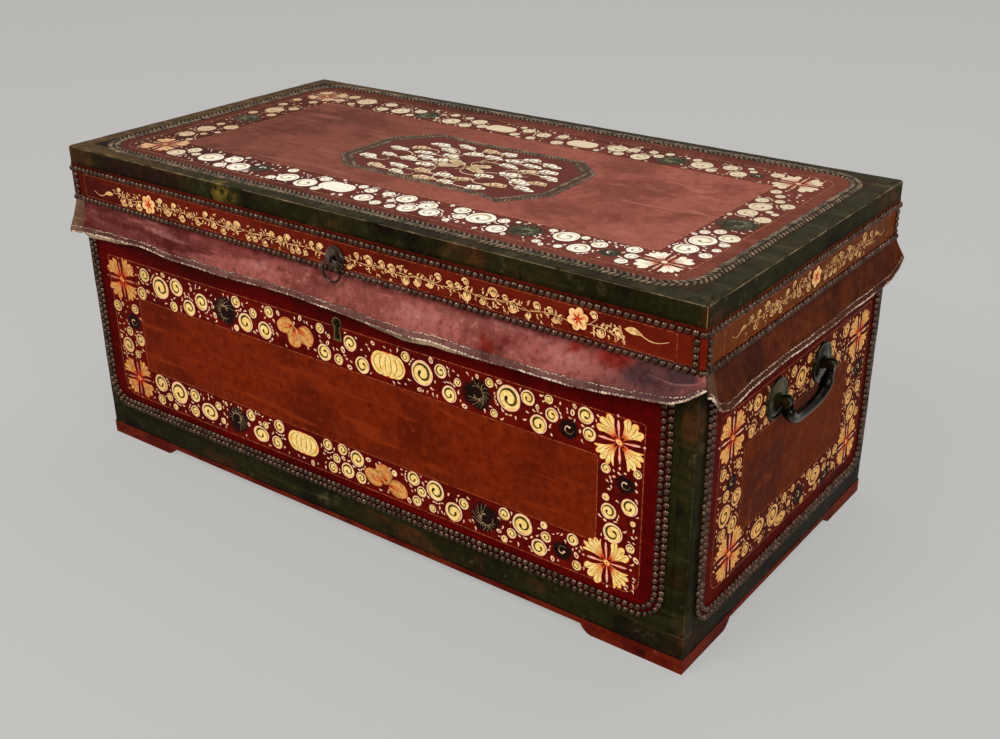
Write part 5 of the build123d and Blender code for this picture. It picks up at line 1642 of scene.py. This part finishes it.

# %% [markdown]
# ## The skirt
# A flap of softer leather is nailed under the lid band and hangs over the joint to
# keep dust out. It has stiffened with age: it flares, waves and turns up at its
# ends, and its lower edge is stitched and frayed to pale fibres. Each flap is a grid
# of two parameters, along the chest and down from the nails, and the measured drop
# of its edge gives the wave. The leather has faded to mauve on the front and is
# still brown at the sides; both carry a painted shade under the nails and pale towards
# the stitches, and the front one has painted shade and highlights on its folds.


# %% Skirt leather
def flap_leather(name, tones, half, marked=0.0):
    """Leather on a flap's own UV map: u runs along it in metres, v is 0 at the nails
    and 1 at the edge. half is where it ends at the left, in millimetres.

    The tones are the main one, dark, patches, stains, the edge and the left end.
    marked is how strongly the three stains and the painted shade and highlight on the folds show.
    """
    colour, dark, patch, stain, edge, end_colour = (tint(*tone) for tone in tones)
    look = Finish(name, colour, 0.02)
    on_sheet = put(look.tree, "ShaderNodeTexCoord").outputs["UV"]
    along, down, _flat = split(look.tree, on_sheet)
    wide = look.noise(10.0, 5.0, Roughness=0.6)
    spots = look.noise(13.0, 5.0, look.moved(Location=(0.7, 0.2, 0.4)), Roughness=0.6)
    aged = along + spots * 0.3
    look.wash(aged.step(0.1, -0.25) * 0.55, dark)
    # Painted shade: darker near the nails, where the flap lies close under the band.
    look.wash(down.step(0.34, 0.08), dark)
    look.wash(wide.step(0.53, 0.64) * 0.75, dark)
    look.wash(spots.step(0.60, 0.68) * 0.8, patch)
    look.wash((down + wide * 0.08).step(0.86, 0.91) * 0.75, edge)
    look.wash(along.step(0.33, 0.42) * spots.step(0.56, 0.44) * 0.8, stain)
    for at_u, at_v, reach, tone in ((0.377, 0.30, 0.030, patch), (0.406, 0.50, 0.026, stain),
                                    (0.452, 0.42, 0.022, stain)):
        du, dv = (along - at_u) / reach, (down - at_v) / 0.28
        away = (du * du + dv * dv).math("SQRT") + wide * 1.6
        look.wash(away.step(1.9, 1.2) * marked, tone)
    # Painted light on the folds: shade in the creases towards the left, and a pale highlight on the folds of
    # the upper half.
    fold = look.noise(1.0, 7.0, look.moved(on_sheet, Scale=(9.0, 2.6, 1.0)), Roughness=0.62, Distortion=0.5)
    look.wash(fold.step(0.47, 0.58) * aged.step(0.25, -0.05) * (0.75 * marked), dark)
    look.wash(fold.step(0.47, 0.38) * down.step(0.75, 0.5) * (0.6 * marked), tint(168, 112, 106))
    look.wash((along * -1.0).step((half - 30) * MM, (half - 25) * MM) * 0.9, end_colour)
    return leather_finish(look, gloss=(0.42, 0.6), fade=(1.3, 1.5, 1.5, 1.0), depth=0.0009, uneven=0.9)


FRONT_SKIRT = ((156, 86, 78), (82, 22, 20), (120, 22, 8), (62, 42, 44), (100, 74, 68), (112, 84, 64))
SIDE_SKIRT = ((88, 38, 15), (56, 24, 14), (96, 32, 6), (52, 30, 24), (80, 46, 34), (96, 66, 50))
BACK_SKIRT = ((86, 36, 16), (54, 22, 14), (92, 30, 8), (50, 30, 24), (78, 46, 34), (80, 46, 34))
skirt_leather = flap_leather("front skirt leather", FRONT_SKIRT, 484, marked=0.8)
side_skirt_leather = flap_leather("side skirt leather", SIDE_SKIRT, 251)


def fibre_material(name, pale, dark, scale):
    """Raw fibres: pale ones and dirty ones in fine streaks and wider patches."""
    look = Finish(name, dark, 0.02)
    fine = look.noise(scale, 6.0, Roughness=0.7)
    mixed = (fine + look.noise(24.0, 3.0)) * 0.5
    look.wash(mixed.step(0.43, 0.57), pale)
    return look.done(fine, 0.6, 0.0006, Roughness=0.8)


fray = fibre_material("frayed edge", tint(222, 194, 170), tint(104, 72, 60), 420.0)
lining = fibre_material("skirt lining", tint(168, 144, 112), tint(108, 84, 62), 300.0)
thread = fibre_material("waxed thread", tint(206, 172, 150), tint(112, 78, 66), 260.0)
print("skirt materials ready")

# %% Skirt flaps
# In millimetres: height of the nailed top, how far the edge stands off, and how long
# a piece of the right end curls. NAILED is the share of the drop that lies flat.
FLAP_TOP, FLARE, CURLED, NAILED = 361.0, 11.0, 46, 0.16


def ripple(x, seed, size=1.0):
    """A slow uneven wave: four sines of unrelated lengths."""
    p = np.random.default_rng(seed).uniform(0, 6, 4)
    waves = ((61, 1.0), (29, 0.6), (13, 0.35), (5.1, 0.2))
    return size * sum(weight * np.sin(x / length + shift) for (length, weight), shift in zip(waves, p)) / 2


def flap_points(half, edge, seed, columns, curl_up, rows=18):
    """Points of a flap on a grid.

    s runs along the face, t down the flap. Height falls from the nailed top to the
    edge line. Below the nails, fall goes from 0 to 1, and the flap stands off by
    FLARE * fall^1.25, plus a ripple that grows with it. curl_up bends the right end
    further out.
    """
    s = np.linspace(-half, half, columns)
    t = np.linspace(0, 1, rows)[:, None]
    low = np.interp(s, *zip(*edge)) + ripple(s, seed) * 0.6
    fall = np.clip((t - NAILED) / (1 - NAILED), 0, 1)
    z = FLAP_TOP + (low - FLAP_TOP)[None] * t
    out = 0.35 + FLARE * fall ** 1.25 + ripple(s, seed + 1, 2.0)[None] * fall ** 1.6
    out = out + 0.6 * np.sin(s / 47 + 2.0 * t) * np.sin(pi * t)
    rise = np.clip((s - (half - CURLED)) / CURLED, 0, 1)
    out = out + curl_up * rise[None] ** 2 * fall ** 2
    return np.stack(np.broadcast_arrays(s[None], z, out), -1)


def flap_piece(name, face, grid, material, body, thick=2.0):
    """A closed sheet: the outer grid, an inner grid one thickness behind, and walls."""
    rows, columns = grid.shape[:2]
    outer = on_face(face, grid[..., :2], grid[..., 2])
    inner = on_face(face, grid[..., :2], grid[..., 2] - thick * np.linspace(NAILED, 1, rows)[:, None])
    points = np.concatenate([outer.reshape(-1, 3), inner.reshape(-1, 3)])
    front = grid_faces(rows, columns)
    n = rows * columns
    faces = [f[::-1] for f in front] + [[i + n for i in f] for f in front]
    loop = np.concatenate([np.arange(columns), np.arange(1, rows) * columns + columns - 1,
                           n - 2 - np.arange(columns - 1), np.arange(rows - 2, 0, -1) * columns])
    nxt = np.roll(loop, -1)
    faces += np.stack([loop, nxt, nxt + n, loop + n], 1).tolist()
    u = np.broadcast_to(grid[..., 0] * MM, (rows, columns))
    v = np.broadcast_to(np.linspace(0, 1, rows)[:, None], (rows, columns))
    uv = np.tile(np.stack([u, v], -1).reshape(-1, 2), (2, 1))
    return new_piece(name, points, faces, material, body, uv=uv, closed=True)


EDGES = {
    "front": [(-491, 307), (-461, 311), (-418, 314), (-335, 317), (-282, 312), (-221, 313), (-163, 312),
              (-115, 313), (-48, 313), (16, 310), (76, 307), (106, 306), (149, 311), (185, 309), (230, 307),
              (282, 308), (332, 308), (379, 313), (424, 318), (446, 322), (463, 331), (484, 348), (490, 351)],
    "right": [(-254, 340), (-243, 336), (-222, 314), (-206, 309), (-163, 312), (-118, 312), (-22, 311),
              (31, 310), (94, 311), (153, 312), (205, 312), (232, 318), (254, 330)],
    "left": [(-254, 316), (-150, 315), (0, 318), (130, 316), (254, 309)],
}
LINING_DIPS = [(-470, 3), (-455, -6), (-395, -6), (-330, 3), (20, 3), (60, -4), (120, -8), (170, -7),
               (210, -3), (240, 3)]
# Each flap: half length, half length where it is nailed, columns, curl at the right end, leather.
FLAPS = {"front": (484, 471, 260, 3.0, skirt_leather), "right": (250, 238, 140, 0.0, side_skirt_leather),
         "left": (250, 238, 140, 0.0, side_skirt_leather)}
flaps = {}
for side, (half, nailed, columns, curl_up, leather) in FLAPS.items():
    grid = flap_points(half, EDGES[side], 3 + len(side), columns, curl_up)
    beyond = np.abs(grid[..., 0]) - nailed
    drawn_in = nailed + beyond * np.linspace(0.0, 1, grid.shape[0])[:, None]
    grid[..., 0] = np.where(beyond > 0, np.sign(grid[..., 0]) * drawn_in, grid[..., 0])
    flaps[side] = grid
    piece = flap_piece(f"skirt_{side}", side + "_band", grid, leather, "lid")
    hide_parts(f"{side}_flap")
print("flaps:", list(flaps))

# %% [markdown]
# ## Lining, frayed edges and stitches
# Behind the front flap hangs a thinner lining that shows below it in two places. The
# raw edge of each flap is a rough tube of fibres along the last row of the grid, and
# the stitches are short waxed threads a few millimetres above it.


# %% Lining, fray and stitches
THREAD = np.array([0.25, 0.6, 0.7, 0.6, 0.25])


def tube_along(line, radius, sides=6):
    """A tube on a line in space, with its own radius at each point and closed ends."""
    way = np.gradient(line, axis=0)
    way /= np.linalg.norm(way, axis=1)[:, None]
    lift = np.array((0.0, 0.0, 1.0))
    first = np.cross(way, lift)
    first /= np.maximum(np.linalg.norm(first, axis=1), 1e-9)[:, None]
    second = np.cross(way, first)
    a = np.arange(sides) / sides * 2 * pi
    ring = first[:, None] * np.cos(a)[None, :, None] + second[:, None] * np.sin(a)[None, :, None]
    points = line[:, None] + ring * np.asarray(radius).reshape(-1, 1, 1)
    n = len(line)
    faces = grid_faces(n, sides, wrap=True)
    faces += [tuple(range(sides))[::-1], tuple(range((n - 1) * sides, n * sides))]
    return points.reshape(-1, 3), faces


grid = flaps["front"]
s = grid[-1, :, 0]
low = grid[-1, :, 1] + np.interp(s, *zip(*LINING_DIPS)) + ripple(s, 77)
t = np.linspace(0, 1, 6)[:, None]
height = low + 14 * (1 - t)
row_at = np.clip((FLAP_TOP - height) / (FLAP_TOP - grid[-1, :, 1]), 0, 1) * (len(grid) - 1)
row_low = np.clip(row_at.astype(int), 0, len(grid) - 2)
k = np.arange(len(s))[None]
behind = grid[row_low, k, 2] + (row_at - row_low) * (grid[row_low + 1, k, 2] - grid[row_low, k, 2])
lining_grid = np.stack(np.broadcast_arrays(s[None] * 0.985, height, behind - 3.2), -1)
lining_grid = lining_grid[:, (s > -474) & (s < 250)]
piece = flap_piece("skirt_lining", "front_band", lining_grid, lining, "lid", thick=0.9)
for side, grid in flaps.items():
    face = side + "_band"
    rng = np.random.default_rng(len(side) * 7)
    edge_line = on_face(face, grid[-1, :, :2], grid[-1, :, 2] - 0.9)
    fine = np.linspace(0, len(edge_line) - 1, 4 * len(edge_line))
    k = np.arange(len(edge_line))
    line = np.stack([np.interp(fine, k, edge_line[:, j]) for j in range(3)], 1)
    line[:, 2] += rng.normal(0, 0.00022, len(line))
    points, faces = tube_along(line, MM * np.clip(rng.normal(1.15, 0.3, len(line)), 0.5, 1.9))
    frayed = new_piece(f"fray_{side}", points, faces, fray, "lid", closed=True)
    s, z, out = (0.3 * grid[-4] + 0.7 * grid[-3]).T
    run = run_along(np.stack([s, z], 1))
    starts = np.arange(3, run[-1] - 4, 4.4)
    blocks, all_faces, shift = [], [], 0
    t = np.linspace(0, 1, 5)
    for begin in (starts + rng.normal(0, 0.5, len(starts))).tolist():
        at = begin + rng.uniform(2.6, 4.6) * t
        slack = rng.normal(0, 0.4) + rng.normal(0, 0.5) * t
        flat = np.stack([np.interp(at, run, s), np.interp(at, run, z) + slack], 1)
        lift = np.interp(at, run, out) + 0.1 + 0.35 * np.sin(pi * t)
        radius = MM * rng.uniform(0.7, 1.35) * THREAD
        points, faces = tube_along(on_face(face, flat, lift), radius, 5)
        blocks.append(points)
        all_faces += [[i + shift for i in f] for f in faces]
        shift += len(points)
    stitched = new_piece(f"stitches_{side}", np.concatenate(blocks), all_faces, thread, "lid", closed=True)
print("lining, frayed edges and stitches on", len(flaps), "flaps")

# %% [markdown]
# ## The back of the skirt
# At the back the flap has to bend where the lid turns on its hinges. It is one sheet
# from the margin on the lid down over the knuckles, bulging smoothly out between the
# two, and it is fixed to neither body.

# %% Back flap
low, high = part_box("back_flap")
margin_low, margin_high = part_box("back_flap_margin")
back_half = high.x / MM
outside = (high.y - band_y) / MM
top_edge, bend_top, bend_low = margin_high.z / MM, margin_low.z / MM, high.z / MM
columns, rows = 200, 22
s = np.linspace(-back_half - 1.5, back_half + 1.5, columns)
t = np.linspace(0, 1, rows)[:, None]
height = top_edge + (low.z / MM - top_edge + ripple(s, 9)[None]) * t
bulge = np.clip((top_edge - 5 - height) / 9, 0, 1)
out = 0.4 + (outside - 0.9) * bulge * bulge * (3 - 2 * bulge) + 0.5 * ripple(s, 12)[None] * bulge
grid = np.stack(np.broadcast_arrays(s[None], height, out), -1)
back_skirt_leather = flap_leather("back skirt leather", BACK_SKIRT, 474)
back_skirt = flap_piece("skirt_back", "back_band", grid, back_skirt_leather, None, thick=1.6)
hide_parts("back_flap", "back_flap_margin")
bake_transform(back_skirt)
print("back flap from", round(top_edge, 1), "to", round(low.z / MM, 1), "mm high")
